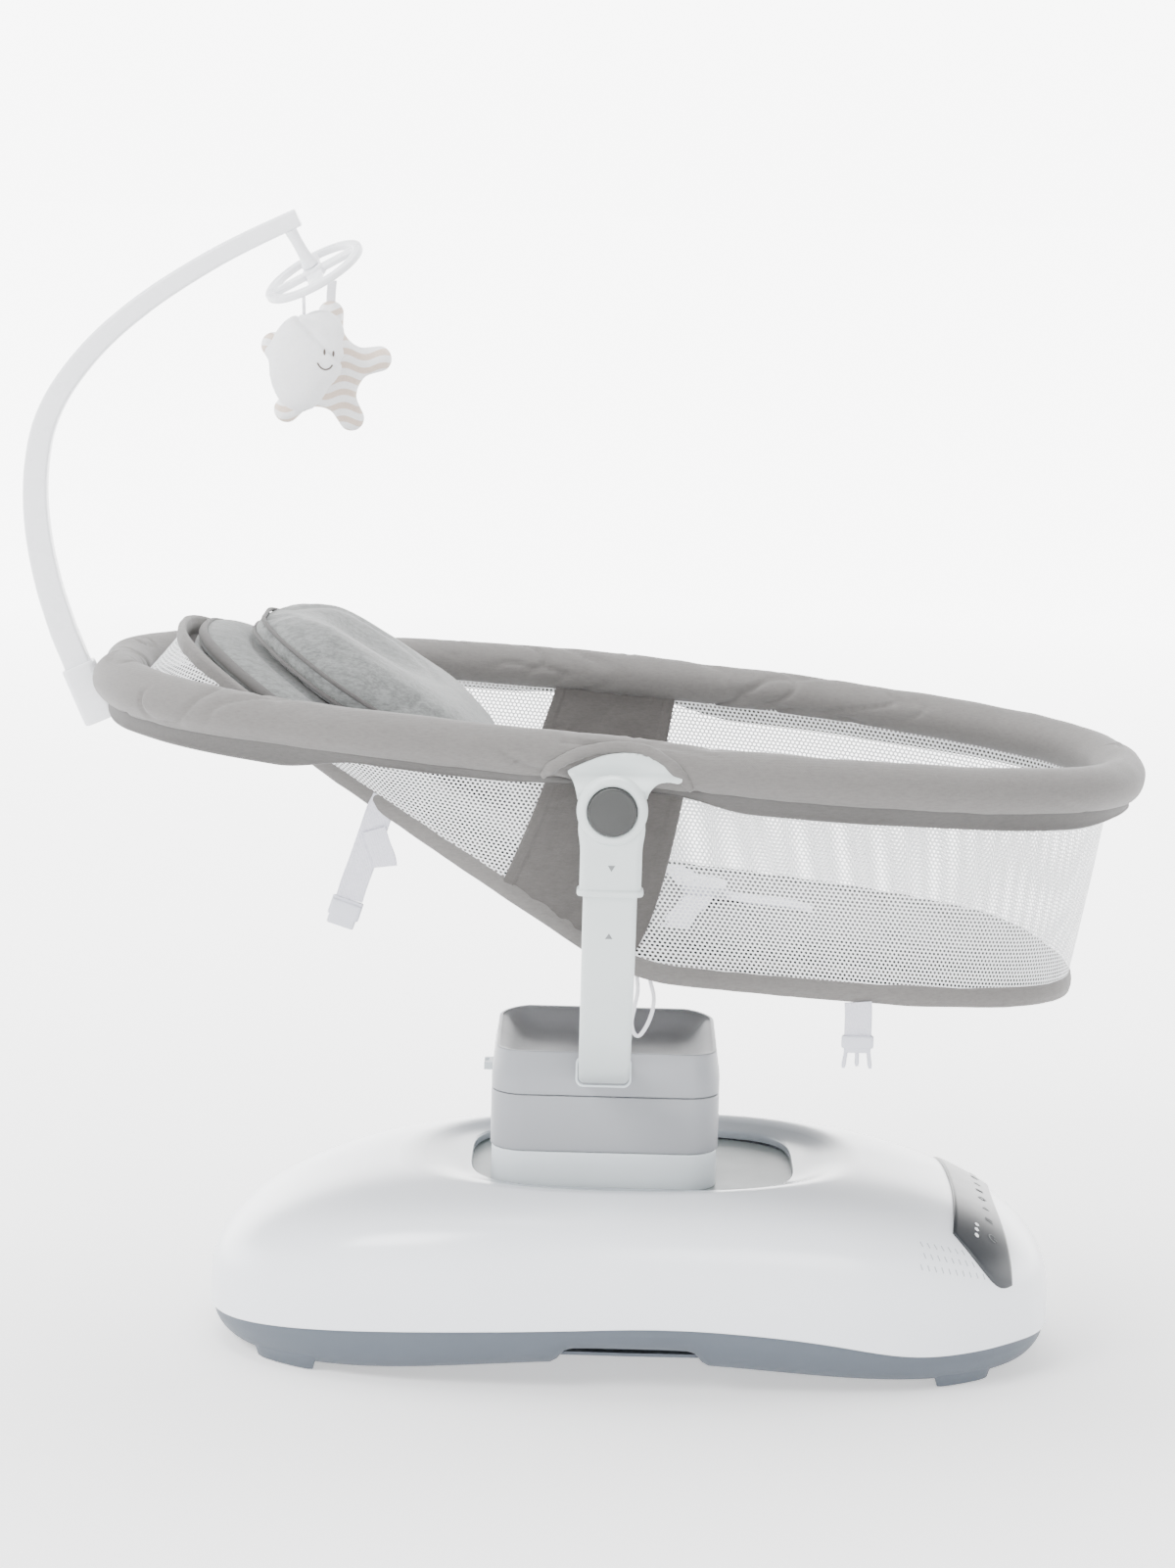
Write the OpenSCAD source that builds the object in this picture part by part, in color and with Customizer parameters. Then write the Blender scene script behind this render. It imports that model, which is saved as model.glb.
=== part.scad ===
// Powered bassinet swing: a gliding tower on a domed base carries two arms,
// and a fabric bassinet hangs between them with a toy bar at its head end.
// Origin: centre of the footprint at floor level. +X is the foot end, +Z is up.

/* [Base] */
// Length of the base over its rounded ends
base_l = 650; // [630:1:670]
// Width of the base over its sides
base_w = 336; // [330:1:344]
// Height of the flat top of the base above the floor
base_h = 153; // [152:1:154]
// X of the middle of the base
base_x = 46; // [44:1:48]
// Wall of the base's shells
base_t = 3; // [2.4:0.2:3]
// Diameter of each foot pad
foot_d = 40; // [30:1:44]

/* [Glide tower] */
// X of the tower's middle at rest
tower_x = 23.5; // [22:0.5:25]
// Length of the tower along the glide
tower_l = 174; // [168:1:176]
// Width of the tower across the glide
tower_w = 144; // [140:1:148]
// Height of the tower's top edge above the floor
tower_top = 248; // [244:1:250]
// Diameter of the two guide rods
rod_d = 10; // [8:1:12]
// Teeth on the drive pinion, module 1.5
pinion_teeth = 16; // [16:1:16]

/* [Arms and hubs] */
// Width of each arm, seen from the side
arm_w = 38; // [36:1:38]
// Thickness of each arm
arm_t = 16; // [14:1:16]
// Distance of the arms' upright part from the middle plane
arm_y = 258; // [258:1:260]
// X of the pivot axis
hub_x = 21.5; // [20:0.5:23]
// Height of the pivot axis
hub_z = 460; // [458:1:462]
// Diameter of the hub ring
hub_d = 50; // [48:1:52]
// Diameter of the release button
button_d = 34; // [32:1:36]
// Diameter of the pivot pin
pin_d = 12; // [10:1:14]

/* [Bassinet] */
// Length of the rim along its tube's middle
rim_l = 764; // [758:1:766]
// Width of the rim along its tube's middle
rim_w = 456; // [450:1:458]
// X of the rim's middle
rim_x = 29; // [28:0.5:30]
// Height of the rim's middle
rim_z = 485; // [483:1:487]
// Diameter of the padded rim
rim_d = 35; // [33:1:35]
// Rise of the rim to the head end, in degrees
rim_tilt = 4.3; // [4:0.1:4.6]
// Thickness of the seat pad
pad_t = 22; // [18:1:24]

/* [Toy bar] */
// Depth of the toy bar across its flat sides
bar_y = 15; // [12:1:16]
// Diameter of the toy ring
ring_d = 82; // [76:1:84]

/* [Hidden] */
shift_x = 0.75;          // brings the middle of the whole object's length to the origin
base_a = base_l / 2;
base_b = base_w / 2;
base_p = 2.6;         // squareness of the base's outline
base_n = 4.6;         // fullness of the base's dome
slot_x = 46;          // middle of the glide slot
slot_a = 124;
slot_p = 3.8;         // squareness of the slot
slot_b = 93;
slot_z = 142.5;
plate_z = 135;        // top of the sliding plate
skirt_in = 18;        // how far the skirt tucks under
rod_z = 92;
rod_y = 62;
rack_z = 82;
gear_m = 1.5;
gear_r = gear_m * pinion_teeth / 2;
pinion_x = 46;
seg = 72;             // points around the base's rings

function sg(v) = v < 0 ? -1 : 1;
function mix(a, b, s) = a + (b - a) * s;
function cl(v, a, b) = min(max(v, a), b);
function ease(v, a, b) = let (s = cl((v - a) / (b - a), 0, 1)) s * s * (3 - 2 * s);
function sell(c, a, b, n, t) = [c + a * sg(cos(t)) * pow(abs(cos(t)), 2 / n), b * sg(sin(t)) * pow(abs(sin(t)), 2 / n)];
function unit(v) = v / max(norm(v), 1e-9);
function mean(P) = sum([for (p = P) p], 0, [0, 0, 0]) / len(P);
function sum(v, i = 0, a = 0) = i < len(v) ? sum(v, i + 1, a + v[i]) : a;
// Catmull-Rom curve through hand-set points, k steps to a span
function crp(P, i, t) = let (n = len(P) - 1, a = P[max(i - 1, 0)], b = P[i], c = P[min(i + 1, n)], d = P[min(i + 2, n)])
  0.5 * (2 * b + (c - a) * t + (2 * a - 5 * b + 4 * c - d) * t * t + (3 * b - a - 3 * c + d) * t * t * t);
function smooth(P, k) = [for (i = [0:len(P) - 2]) for (j = [0:k - 1]) crp(P, i, j / k), P[len(P) - 1]];
function tang(P, i) = unit(P[min(i + 1, len(P) - 1)] - P[max(i - 1, 0)]);
// rounded rectangle outline, r corner radius, k steps to a corner
function rrect(x, y, r, k = 6) = [for (q = [0:3]) for (j = [0:k]) let (a = q * 90 + 90 * j / k, sx = (q == 0 || q == 3) ? 1 : -1, sy = q < 2 ? 1 : -1) [sx * (x / 2 - r) + r * cos(a), sy * (y / 2 - r) + r * sin(a)]];

// the same rings, run the other way round
function turned(A) = [for (r = A) [for (k = [len(r) - 1:-1:0]) r[k]]];
// rings joined into one closed band, first ring to last ring as well
module ring_loop(A, rev = false) {
  R = rev ? turned(A) : A; n = len(R[0]); m = len(R);
  polyhedron(points = [for (r = R) each r], faces = [for (i = [0:m - 1]) for (j = [0:n - 1])
    let (a = i * n + j, b = i * n + (j + 1) % n, c = ((i + 1) % m) * n + (j + 1) % n, d = ((i + 1) % m) * n + j) each [[a, b, c], [a, c, d]]]);
}
// rings joined into one body with closed ends
module loft(A, rev = false) {
  R = rev ? turned(A) : A; n = len(R[0]); m = len(R); e = n * m;
  polyhedron(points = concat([for (r = R) each r], [mean(R[0]), mean(R[m - 1])]), faces = concat(
    [for (i = [0:m - 2]) for (j = [0:n - 1]) let (a = i * n + j, b = i * n + (j + 1) % n, c = (i + 1) * n + (j + 1) % n, d = (i + 1) * n + j) each [[a, b, c], [a, c, d]]],
    [for (j = [0:n - 1]) [e, (j + 1) % n, j]],
    [for (j = [0:n - 1]) [e + 1, (m - 1) * n + j, (m - 1) * n + (j + 1) % n]]));
}
module at(x = 0, y = 0, z = 0) translate([x, y, z]) children();
module along_x(l) rotate([0, 90, 0]) translate([0, 0, -l / 2]) children();
module along_y() rotate([-90, 0, 0]) children();
module ry(d, l) rotate([-90, 0, 0]) cylinder(d = d, h = l, $fn = 48);

// ---------------------------------------------------------------- base
function edge_z(x) = 53 - 24 * pow(min(abs(x - base_x) / base_a, 1), 1.7);
function br(x, y, a, b) = min(pow(pow(abs(x - base_x) / a, base_p) + pow(abs(y) / b, base_p), 1 / base_p), 1);
function crest(x, h) = let (u = cl((x - base_x) / base_a, -1, 1)) h + 5 * u - 46 * pow(abs(u), 3.2);
function oval_r(x, y) = pow(pow(abs(x - 44) / 172, 2.4) + pow(abs(y) / 124, 2.4), 1 / 2.4);
// the dome, with a shallow oval recess around the slot whose floor is at f
function dome(x, y, a, b, h, f) = let (r = br(x, y, a, b), z = edge_z(x) + (crest(x, h) - edge_z(x)) * pow(1 - pow(r, base_n), 1 / base_n)) mix(f, z, ease(oval_r(x, y), 0.8, 1.04));
function top_ring(s, a, b, h, grow, f) = [for (i = [0:seg - 1]) let (t = 360 * i / seg,
  o = sell(base_x, a, b, base_p, t), q = sell(slot_x, slot_a + grow, slot_b + grow, slot_p, t), p = mix(q, o, s))
  [p[0], p[1], s > 0.999 ? edge_z(p[0]) : dome(p[0], p[1], a, b, h, f)]];
function slot_ring(grow, z) = [for (i = [0:seg - 1]) let (q = sell(slot_x, slot_a + grow, slot_b + grow, slot_p, 360 * i / seg)) [q[0], q[1], z]];
module base_top_shell() color([0.92, 0.93, 0.96]) ring_loop(concat(
  [for (s = [1, 0.994, 0.975, 0.94, 0.89, 0.82, 0.72, 0.6, 0.48, 0.36, 0.24, 0.1]) top_ring(s, base_a, base_b, base_h, 0, slot_z)],
  [slot_ring(0, slot_z), slot_ring(0, plate_z + 1), slot_ring(2.6, plate_z + 1), slot_ring(2.6, slot_z - base_t)],
  [for (s = [0.1, 0.25, 0.4, 0.56, 0.7, 0.81, 0.9, 0.955, 0.99, 1]) top_ring(s, base_a - base_t, base_b - base_t, base_h - base_t, 2.6, slot_z - base_t)]), rev = true);

// the skirt follows the shell's edge, tucks under, and has a finger notch in each long side
function under_z(x) = 24 - 17.5 * ease(abs(x - base_x) / base_a, 0.05, 0.8) + 10 * (1 - ease(abs(x - base_x), 46, 58));
function skirt_ring(inset, f) = [for (i = [0:seg - 1]) let (o = sell(base_x, base_a - inset, base_b - inset, base_p, 360 * i / seg)) [o[0], o[1], mix(edge_z(o[0]) - 0.6, under_z(o[0]), f)]];
module base_skirt() color([0.5, 0.54, 0.6]) ring_loop([skirt_ring(2, 0), skirt_ring(3.4, 0.3), skirt_ring(7.5, 0.65), skirt_ring(skirt_in, 1), skirt_ring(skirt_in + 4, 1), skirt_ring(11.5, 0.65), skirt_ring(7, 0.3), skirt_ring(6, 0)]);

foot_x = [-198, 290];
foot_y = 82;
floor_t = 26;         // underside of the bottom plate
boss_x = [-150, 240];
boss_y = 105;
module bottom_plate() color([0.45, 0.48, 0.53]) difference() {
  union() {
    translate([0, 0, floor_t]) linear_extrude(2.6) polygon([for (i = [0:47]) sell(base_x, base_a - 34, base_b - 25.5, base_p, 7.5 * i)]);
    for (x = foot_x, y = [-foot_y, foot_y]) at(x, y, 5.5) cylinder(d = foot_d - 10, h = floor_t - 4, $fn = 48);
    for (x = boss_x, y = [-boss_y, boss_y]) at(x, y, floor_t + 2) cylinder(d = 14, h = 30, $fn = 36);
  }
  for (x = boss_x, y = [-boss_y, boss_y]) at(x, y, floor_t - 1) cylinder(d = 4.2, h = 40, $fn = 24);
}
module foot_pads() color([0.36, 0.38, 0.42]) for (x = foot_x, y = [-foot_y, foot_y]) at(x, y, 0) {
  cylinder(d1 = foot_d - 3, d2 = foot_d, h = 1.5, $fn = 48);
  at(z = 1.5) cylinder(d = foot_d, h = 3.9, $fn = 48);
}
module base_screws() color([0.6, 0.6, 0.62]) for (x = boss_x, y = [-boss_y, boss_y]) at(x, y, 0) {
  at(z = floor_t - 3.4) cylinder(d = 8, h = 3.3, $fn = 32);
  at(z = floor_t - 0.1) cylinder(d = 4, h = 24, $fn = 32);
}

// the control panel is a dark crescent laid on the foot-end slope
function panel_pt(u, v, up) = let (y = v * (108 + 34 * u - 43 * u * u), x0 = 293 - 6 * v * v, x1 = 327 + 7 * v * v, x = mix(x0, x1, u))
  [x + up * 0.5, y * (1 + up * 0.004), dome(x, y, base_a, base_b, base_h, slot_z) + up * 0.9];
module control_panel() color([0.16, 0.17, 0.19]) panel_sheet(8, 20);
module panel_sheet(nu, nv) {
  P = [for (k = [0, 1]) for (i = [0:nu]) for (j = [0:nv]) panel_pt(i / nu, -1 + 2 * j / nv, k == 0 ? 0.7 : 2.2)];
  w = nv + 1; h = (nu + 1) * w;
  polyhedron(points = P, faces = concat(
    [for (i = [0:nu - 1]) for (j = [0:nv - 1]) let (a = i * w + j, b = a + 1, c = a + w + 1, d = a + w) each [[a, c, b], [a, d, c]]],
    [for (i = [0:nu - 1]) for (j = [0:nv - 1]) let (a = h + i * w + j, b = a + 1, c = a + w + 1, d = a + w) each [[a, b, c], [a, c, d]]],
    [for (i = [0:nu - 1]) let (a = i * w, d = a + w) each [[a, a + h, d + h], [a, d + h, d]]],
    [for (i = [0:nu - 1]) let (a = i * w + nv, d = a + w) each [[a, d + h, a + h], [a, d, d + h]]],
    [for (j = [0:nv - 1]) let (a = j, b = a + 1) each [[a, b + h, a + h], [a, b, b + h]]],
    [for (j = [0:nv - 1]) let (a = nu * w + j, b = a + 1) each [[a, a + h, b + h], [a, b + h, b]]]));
}
module control_board() color([0.1, 0.35, 0.2]) at(284, 0, 80) rotate([0, 40, 0]) {
  translate([-20, -35, -1]) cube([40, 70, 1.6]);
  for (y = [-24:12:24]) translate([-6, y - 3, 0.6]) cube([8, 6, 2.4]);
}
module speaker() color([0.2, 0.2, 0.22]) at(290, -58, 44) {
  cylinder(d = 40, h = 4, $fn = 48);
  at(z = -8) cylinder(d1 = 22, d2 = 34, h = 8, $fn = 48);
}
module power_jack() color([0.15, 0.15, 0.16]) at(-243, 0, 42) difference() {
  union() { translate([-8, -7, -6]) cube([20, 14, 12]); }
  rotate([0, 90, 0]) translate([0, 0, -9]) cylinder(d = 5.5, h = 12, $fn = 32);
}

// ---------------------------------------------------------------- drive in the base
block_x = [-168, 260];
module guide_rods() color([0.78, 0.79, 0.8]) for (y = [-rod_y, rod_y]) at(46, y, rod_z) along_x(440) cylinder(d = rod_d, h = 440, $fn = 48);
module rod_blocks() color([0.3, 0.32, 0.35]) for (x = block_x, y = [-rod_y, rod_y]) difference() {
  translate([x - 6, y - 14, floor_t + 2.6]) cube([12, 28, rod_z - floor_t - 2.6 + 10]);
  at(x, y, rod_z) along_x(20) cylinder(d = rod_d + 0.02, h = 20, $fn = 48);
}
module stop_bumpers() color([0.12, 0.12, 0.12]) for (x = [-80, 180], y = [-rod_y, rod_y]) at(x, y, rod_z) along_x(8) difference() {
  cylinder(d = rod_d + 10, h = 8, $fn = 36);
  at(z = -1) cylinder(d = rod_d + 0.02, h = 10, $fn = 36);
}
module drive_motor() color([0.55, 0.56, 0.58]) at(pinion_x, 0, 0) {
  at(z = floor_t + 8) cylinder(d = 62, h = 64 - floor_t - 8, $fn = 60);
  at(z = 64) cylinder(d = 24, h = 6, $fn = 48);
  at(z = 70) cylinder(d = 6, h = 26, $fn = 36);
}
module motor_bracket() color([0.3, 0.32, 0.35]) at(pinion_x, 0, 0) difference() {
  union() { at(z = floor_t + 2.6) cylinder(d = 80, h = 5.4, $fn = 60); for (a = [45:90:315]) rotate(a) translate([31.4, -5, floor_t + 2.6]) cube([6, 10, 26]); }
  at(z = floor_t + 7.98) cylinder(d = 62.4, h = 60, $fn = 60);
}
// gear outline: straight-flanked teeth, slimmer than the pitch so that there is backlash
function tooth(r, m, c) = let (p = 360 / pinion_teeth) [for (k = [[-0.33, -1.2], [-0.125, 0.95], [0.125, 0.95], [0.33, -1.2]]) let (a = c + k[0] * p, q = r + k[1] * m) [q * cos(a), q * sin(a)]];
module drive_pinion() color([0.85, 0.82, 0.72]) at(pinion_x, 0, rack_z - 4) difference() {
  linear_extrude(9) polygon([for (i = [0:pinion_teeth - 1]) each tooth(gear_r, gear_m, 90 + i * 360 / pinion_teeth)]);
  at(z = -1) cylinder(d = 6.1, h = 12, $fn = 36);
}
module gear_rack() color([0.85, 0.82, 0.72]) at(pinion_x, gear_r, rack_z - 3.5) {
  p = PI * gear_m;
  linear_extrude(8) polygon(concat([[-10.5 * p, 12], [-10.5 * p, 1.25 * gear_m]], [for (i = [-10:9]) each [[(i + 0.17) * p, 1.25 * gear_m], [(i + 0.375) * p, -0.95 * gear_m], [(i + 0.625) * p, -0.95 * gear_m], [(i + 0.83) * p, 1.25 * gear_m]]], [[10.5 * p, 1.25 * gear_m], [10.5 * p, 12]]));
}

// ---------------------------------------------------------------- gliding carriage and tower
module carriage() color([0.35, 0.37, 0.4]) difference() {
  union() {
    translate([tower_x - 62, -78, rod_z + 11]) cube([124, 156, 5]);
    for (y = [-rod_y, rod_y], x = [-42, 42]) translate([tower_x + x - 17, y - 14, rod_z - 12]) cube([34, 28, 23.5]);
    for (y = [-70, 66]) translate([tower_x - 60, y, rod_z + 15]) cube([120, 4, plate_z - 2.6 - rod_z - 15]);
    for (x = [-60, 56]) translate([tower_x + x, -70, rod_z + 15]) cube([4, 140, plate_z - 2.6 - rod_z - 15]);
    translate([-4, gear_r + 6, rack_z + 4.6]) cube([92, 9, rod_z - rack_z + 7]);
  }
  for (y = [-rod_y, rod_y], x = [-42, 42]) at(tower_x + x, y, rod_z) along_x(60) cylinder(d = 17, h = 60, $fn = 48);
}
module linear_bushes() color([0.8, 0.78, 0.7]) for (y = [-rod_y, rod_y], x = [-42, 42]) at(tower_x + x, y, rod_z) along_x(34) difference() {
  cylinder(d = 16.98, h = 34, $fn = 48);
  at(z = -1) cylinder(d = rod_d + 0.1, h = 36, $fn = 48);
}
module slide_plate() color([0.62, 0.66, 0.66]) at(tower_x, 0, plate_z - 2.5) linear_extrude(2.5) polygon([for (i = [0:59]) sell(0, 155, 98, 3, 6 * i)]);
function tower_out(g) = rrect(tower_l - 2 * g, tower_w - 2 * g, 26 - g);
module tower_tube(z0, z1, g, t) at(tower_x, 0, z0) difference() {
  linear_extrude(z1 - z0) polygon(tower_out(g));
  at(z = -1) linear_extrude(z1 - z0 + 2) polygon(tower_out(g + t));
}
module arm_hole() for (s = [-1, 1]) translate([tower_x - 2 - arm_w / 2 - 0.7, s > 0 ? 60 : -90, 213]) cube([arm_w + 1.4, 30, 27]);
module tower_skirt() color([0.82, 0.84, 0.86]) tower_tube(plate_z + 0.05, 163, 1.2, 2.6);
module tower_lower_shell() color([0.75, 0.76, 0.8]) difference() {
  union() { tower_tube(163.1, 206.8, 0, 3); at(tower_x, 0, 166) difference() { linear_extrude(3) polygon(tower_out(2.5)); at(z = -1) cylinder(d = 60, h = 6, $fn = 48); } }
  arm_hole();
}
module tower_upper_shell() color([0.75, 0.76, 0.8]) difference() {
  tower_tube(207, tower_top, 0.4, 3);
  arm_hole();
  translate([tower_x - tower_l / 2 - 2, -9.4, 210.6]) cube([8, 18.8, 6.8]);
  at(tower_x, 0, tower_top + 300 - 7) rotate([90, 0, 0]) translate([0, 0, -100]) difference() { translate([-150, -310, 0]) cube([300, 320, 200]); translate([0, -293 - 800, -1]) cylinder(r = 800, h = 202, $fn = 180); }
}
module tower_top_tray() color([0.6, 0.61, 0.66]) at(tower_x, 0, 0) difference() {
  at(z = 238) linear_extrude(4) polygon(tower_out(3.8));
  at(z = 240.5) linear_extrude(6) polygon(rrect(tower_l - 30, tower_w - 44, 20));
}
arm_path = [[40, 222], [62, 224], [100, 234], [150, 254], [200, 291], [236, 334], [252, 367], [257.4, 389], [258, 410], [258, 437]];
module arm(s) { P = smooth(arm_path, 3); m = len(P);
  R = [for (i = [0:m - 1]) let (t = i > m - 9 ? [0, 1] : tang(P, i), n = [-t[1], t[0]], c = 3.5)
    [for (q = [[1, 1 - c / (arm_t / 2)], [1 - c / (arm_w / 2), 1], [-1 + c / (arm_w / 2), 1], [-1, 1 - c / (arm_t / 2)], [-1, -1 + c / (arm_t / 2)], [-1 + c / (arm_w / 2), -1], [1 - c / (arm_w / 2), -1], [1, -1 + c / (arm_t / 2)]])
      let (x = q[0] * arm_w / 2, v = q[1] * arm_t / 2) [tower_x - 2 + x, s * (P[i][0] + n[0] * v), P[i][1] + n[1] * v]]];
  loft(R, rev = s < 0);
}
module arm_left() color([0.86, 0.88, 0.88]) arm(1);
module arm_right() color([0.86, 0.88, 0.88]) arm(-1);
module arm_crossbar() color([0.5, 0.52, 0.55]) { translate([tower_x - 2 - 18, -38, 213.5]) cube([36, 76, 17]); for (s = [-1, 1]) at(tower_x - 2 + s * 12, 0, 169.1) cylinder(d = 10, h = 44.4, $fn = 32); }
module tower_screws() color([0.6, 0.6, 0.62]) for (x = [-66, 66], y = [-50, 50]) at(tower_x + x, y, 169.05) { cylinder(d = 7, h = 3, $fn = 32); }
module release_tab() color([0.86, 0.88, 0.88]) translate([tower_x - tower_l / 2 - 7, -9, 211]) difference() { cube([13, 18, 6]); translate([-1, 3, 4.8]) cube([5, 12, 2]); }

// ---------------------------------------------------------------- hubs
module sleeve(s) {
  yi = s > 0 ? 248 : -268.4;
  difference() {
    union() {
      at(tower_x - 2, 0, 400) translate([0, s * 258.2, 0]) linear_extrude(hub_z - 400) polygon(rrect(43.5, 20.4, 5));
      at(tower_x - 2, 0, 399) translate([0, s * 258.2, 0]) linear_extrude(5) polygon(rrect(47, 23.4, 6));
      at(hub_x, yi, hub_z) ry(43.5, 20.4);
      at(hub_x, s > 0 ? 262 : -272, hub_z) ry(hub_d, 10);
    }
    at(tower_x - 2, s * 258, 390) linear_extrude(48) polygon(rrect(arm_w + 0.8, arm_t + 0.9, 3.2));
    at(hub_x, s > 0 ? 240 : -264, hub_z) ry(pin_d + 0.1, 24);
    at(hub_x, s > 0 ? 264 : -274, hub_z) ry(button_d + 0.6, 10);
    translate([-20, s > 0 ? 240 : -248, 390]) cube([90, 8, 100]);
  }
}
module sleeve_left() color([0.86, 0.88, 0.88]) sleeve(1);
module sleeve_right() color([0.86, 0.88, 0.88]) sleeve(-1);
module button(s) at(hub_x, 0, hub_z) difference() { translate([0, s > 0 ? 269 : -275, 0]) ry(button_d, 6); translate([0, s > 0 ? 268 : -273.4, 0]) ry(25.4, 5.4); }
module button_left() color([0.45, 0.45, 0.44]) button(1);
module button_right() color([0.45, 0.45, 0.44]) button(-1);
module button_springs() color([0.7, 0.7, 0.72]) for (s = [-1, 1]) at(hub_x, s > 0 ? 264.1 : -268.9, hub_z) rotate([-90, 0, 0]) difference() { cylinder(d = 24, h = 4.8, $fn = 36); at(z = -1) cylinder(d = 18, h = 8, $fn = 36); }
module pivot_pins() color([0.75, 0.76, 0.78]) for (s = [-1, 1]) at(hub_x, s > 0 ? 219.5 : -263, hub_z) ry(pin_d, 43.5);
module saddle(s) difference() {
  union() {
    at(hub_x, s > 0 ? 222 : -247.4, hub_z) ry(32, 25.4);
    translate([hub_x - 36, s > 0 ? 219 : -241, hub_z + 2]) cube([84, 22, 12]);
  }
  at(hub_x, s > 0 ? 210 : -250, hub_z) ry(pin_d + 0.02, 40);
}
module saddle_left() color([0.6, 0.59, 0.58]) saddle(1);
module saddle_right() color([0.6, 0.59, 0.58]) saddle(-1);

// ---------------------------------------------------------------- bassinet
rim_n = 2.3;
function rim_c(t, g = 0) = let (o = sell(0, rim_l / 2 + g, rim_w / 2 + g, rim_n, t)) [rim_x + o[0] * cos(rim_tilt), o[1], rim_z - o[0] * sin(rim_tilt) + 3 * (1 - pow(abs(o[0]) / (rim_l / 2), 2))];
function rim_sec(t, r, k) = let (a = rim_c(t - 0.5), b = rim_c(t + 0.5), T = unit(b - a), U = [sin(rim_tilt), 0, cos(rim_tilt)], N = cross(T, U))
  [for (j = [0:k - 1]) rim_c(t) + r * (cos(360 * j / k) * unit(N) + sin(360 * j / k) * U)];
function rim_ring(i, n, r, k) = rim_sec(360 * i / n, r, k);
// two U-shaped tubes with a 1.2 mm wall, whose open ends face each other over the hubs
module rim_half(a, b, n) ring_loop(concat([for (i = [0:n]) rim_sec(a + (b - a) * i / n, 9, 10)], [for (i = [n:-1:0]) rim_sec(a + (b - a) * i / n, 7.8, 10)]));
module rim_tube() color([0.7, 0.7, 0.72]) { rim_half(-90.35, 90.35, 22); rim_half(90.92, 269.08, 22); }
module rim_padding() color([0.65, 0.63, 0.61]) ring_loop([for (i = [0:63]) rim_ring(i, 64, rim_d / 2, 12)]);

// height of the bottom edge: a near-level seat and a back that slopes up to the head
function floor_z(x) = let (d = x - 40, k = 34) 328 + (d < 0 ? -0.635 * d : -0.085 * d) + (abs(d) < k ? 0.275 * pow(k - abs(d), 2) / (2 * k) : 0);
band_x = 34;
band_a = 340;
band_b = 172;
function band(t, g = 0) = let (o = sell(band_x, band_a + g, band_b + g, 2.7, t)) [o[0], o[1], floor_z(o[0])];
// wall surface: s 0 at the rim, s 1 at the bottom band
function wall(t, s) = let (a = rim_c(t, -8) - [0, 0, 11], b = band(t), p = mix(a, b, s)) p + [0, 0, 0];
function wall_n(t, s) = unit(cross(wall(t + 1, s) - wall(t - 1, s), wall(t, s + 0.02) - wall(t, s - 0.02)));
module mesh_basket() color([0.93, 0.94, 0.94]) { n = 56;
  ring_loop(concat([for (s = [0, 0.25, 0.5, 0.75, 1]) [for (i = [0:n - 1]) wall(360 * i / n, s)]],
    [for (s = [1, 0.75, 0.5, 0.25, 0]) [for (i = [0:n - 1]) let (t = 360 * i / n) wall(t, s) + 2.4 * wall_n(t, s)]]));
}
function band_ring(i, n, r, k) = let (t = 360 * i / n, T = unit(band(t + 0.6) - band(t - 0.6)), N = unit(cross(T, [0, 0, 1])), U = cross(N, T))
  [for (j = [0:k - 1]) band(t) + r * (cos(360 * j / k) * N + sin(360 * j / k) * U)];
module bottom_band() color([0.62, 0.6, 0.59]) ring_loop([for (i = [0:55]) band_ring(i, 56, 5, 8)]);
// grey fabric panel on each side wall, laid outside the mesh
module side_panel(s) { n = 8;
  R = [for (i = [0:n]) concat(
    [for (v = [0.12, 0.35, 0.6, 0.93]) let (t = mix(264 - 3.6 * v, 275 - 5 * v, i / n)) wall(t, v) - 0.8 * wall_n(t, v)],
    [for (v = [0.93, 0.6, 0.35, 0.12]) let (t = mix(264 - 3.6 * v, 275 - 5 * v, i / n)) wall(t, v) - 2.2 * wall_n(t, v)])];
  if (s < 0) loft(R); else loft([for (r = R) [for (p = r) [p[0], -p[1], p[2]]]], rev = true);
}
module side_panels() color([0.6, 0.58, 0.57]) { side_panel(-1); side_panel(1); }
module seat_board() color([0.5, 0.5, 0.5]) translate([58, 0, floor_z(58) - 1.5]) rotate([0, atan(0.085), 0]) linear_extrude(3) intersection() {
  polygon([for (i = [0:47]) sell(band_x - 58, band_a - 9, band_b - 9, 2.7, 7.5 * i)]);
  translate([0, -200]) square([400, 400]);
}
module back_board() color([0.5, 0.5, 0.5]) translate([22, 0, floor_z(22) - 3]) rotate([0, atan(0.635), 0]) scale([1 / cos(atan(0.635)), 1, 1]) linear_extrude(3) intersection() {
  polygon([for (i = [0:47]) sell(band_x - 22, band_a - 9, band_b - 9, 2.7, 7.5 * i)]);
  translate([-400, -200]) square([400, 400]);
}
function pad_ring(x, t) = let (w = (band_b - 12) * pow(max(1 - pow(abs(x - band_x) / (band_a - 10), 2.7), 0.02), 1 / 2.7), sl = (floor_z(x + 1) - floor_z(x - 1)) / 2, n = unit([-sl, 1]))
  [for (q = [[1, 0.5], [0.97, 0.15], [0.85, 0], [0.4, 0], [0, 0], [-0.4, 0], [-0.85, 0], [-0.97, 0.15], [-1, 0.5], [-0.97, 0.85], [-0.85, 1], [-0.4, 1], [0, 1], [0.4, 1], [0.85, 1], [0.97, 0.85]])
    let (h = 3 + q[1] * t) [x + n[0] * h, q[0] * w, floor_z(x) + n[1] * h]];
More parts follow.
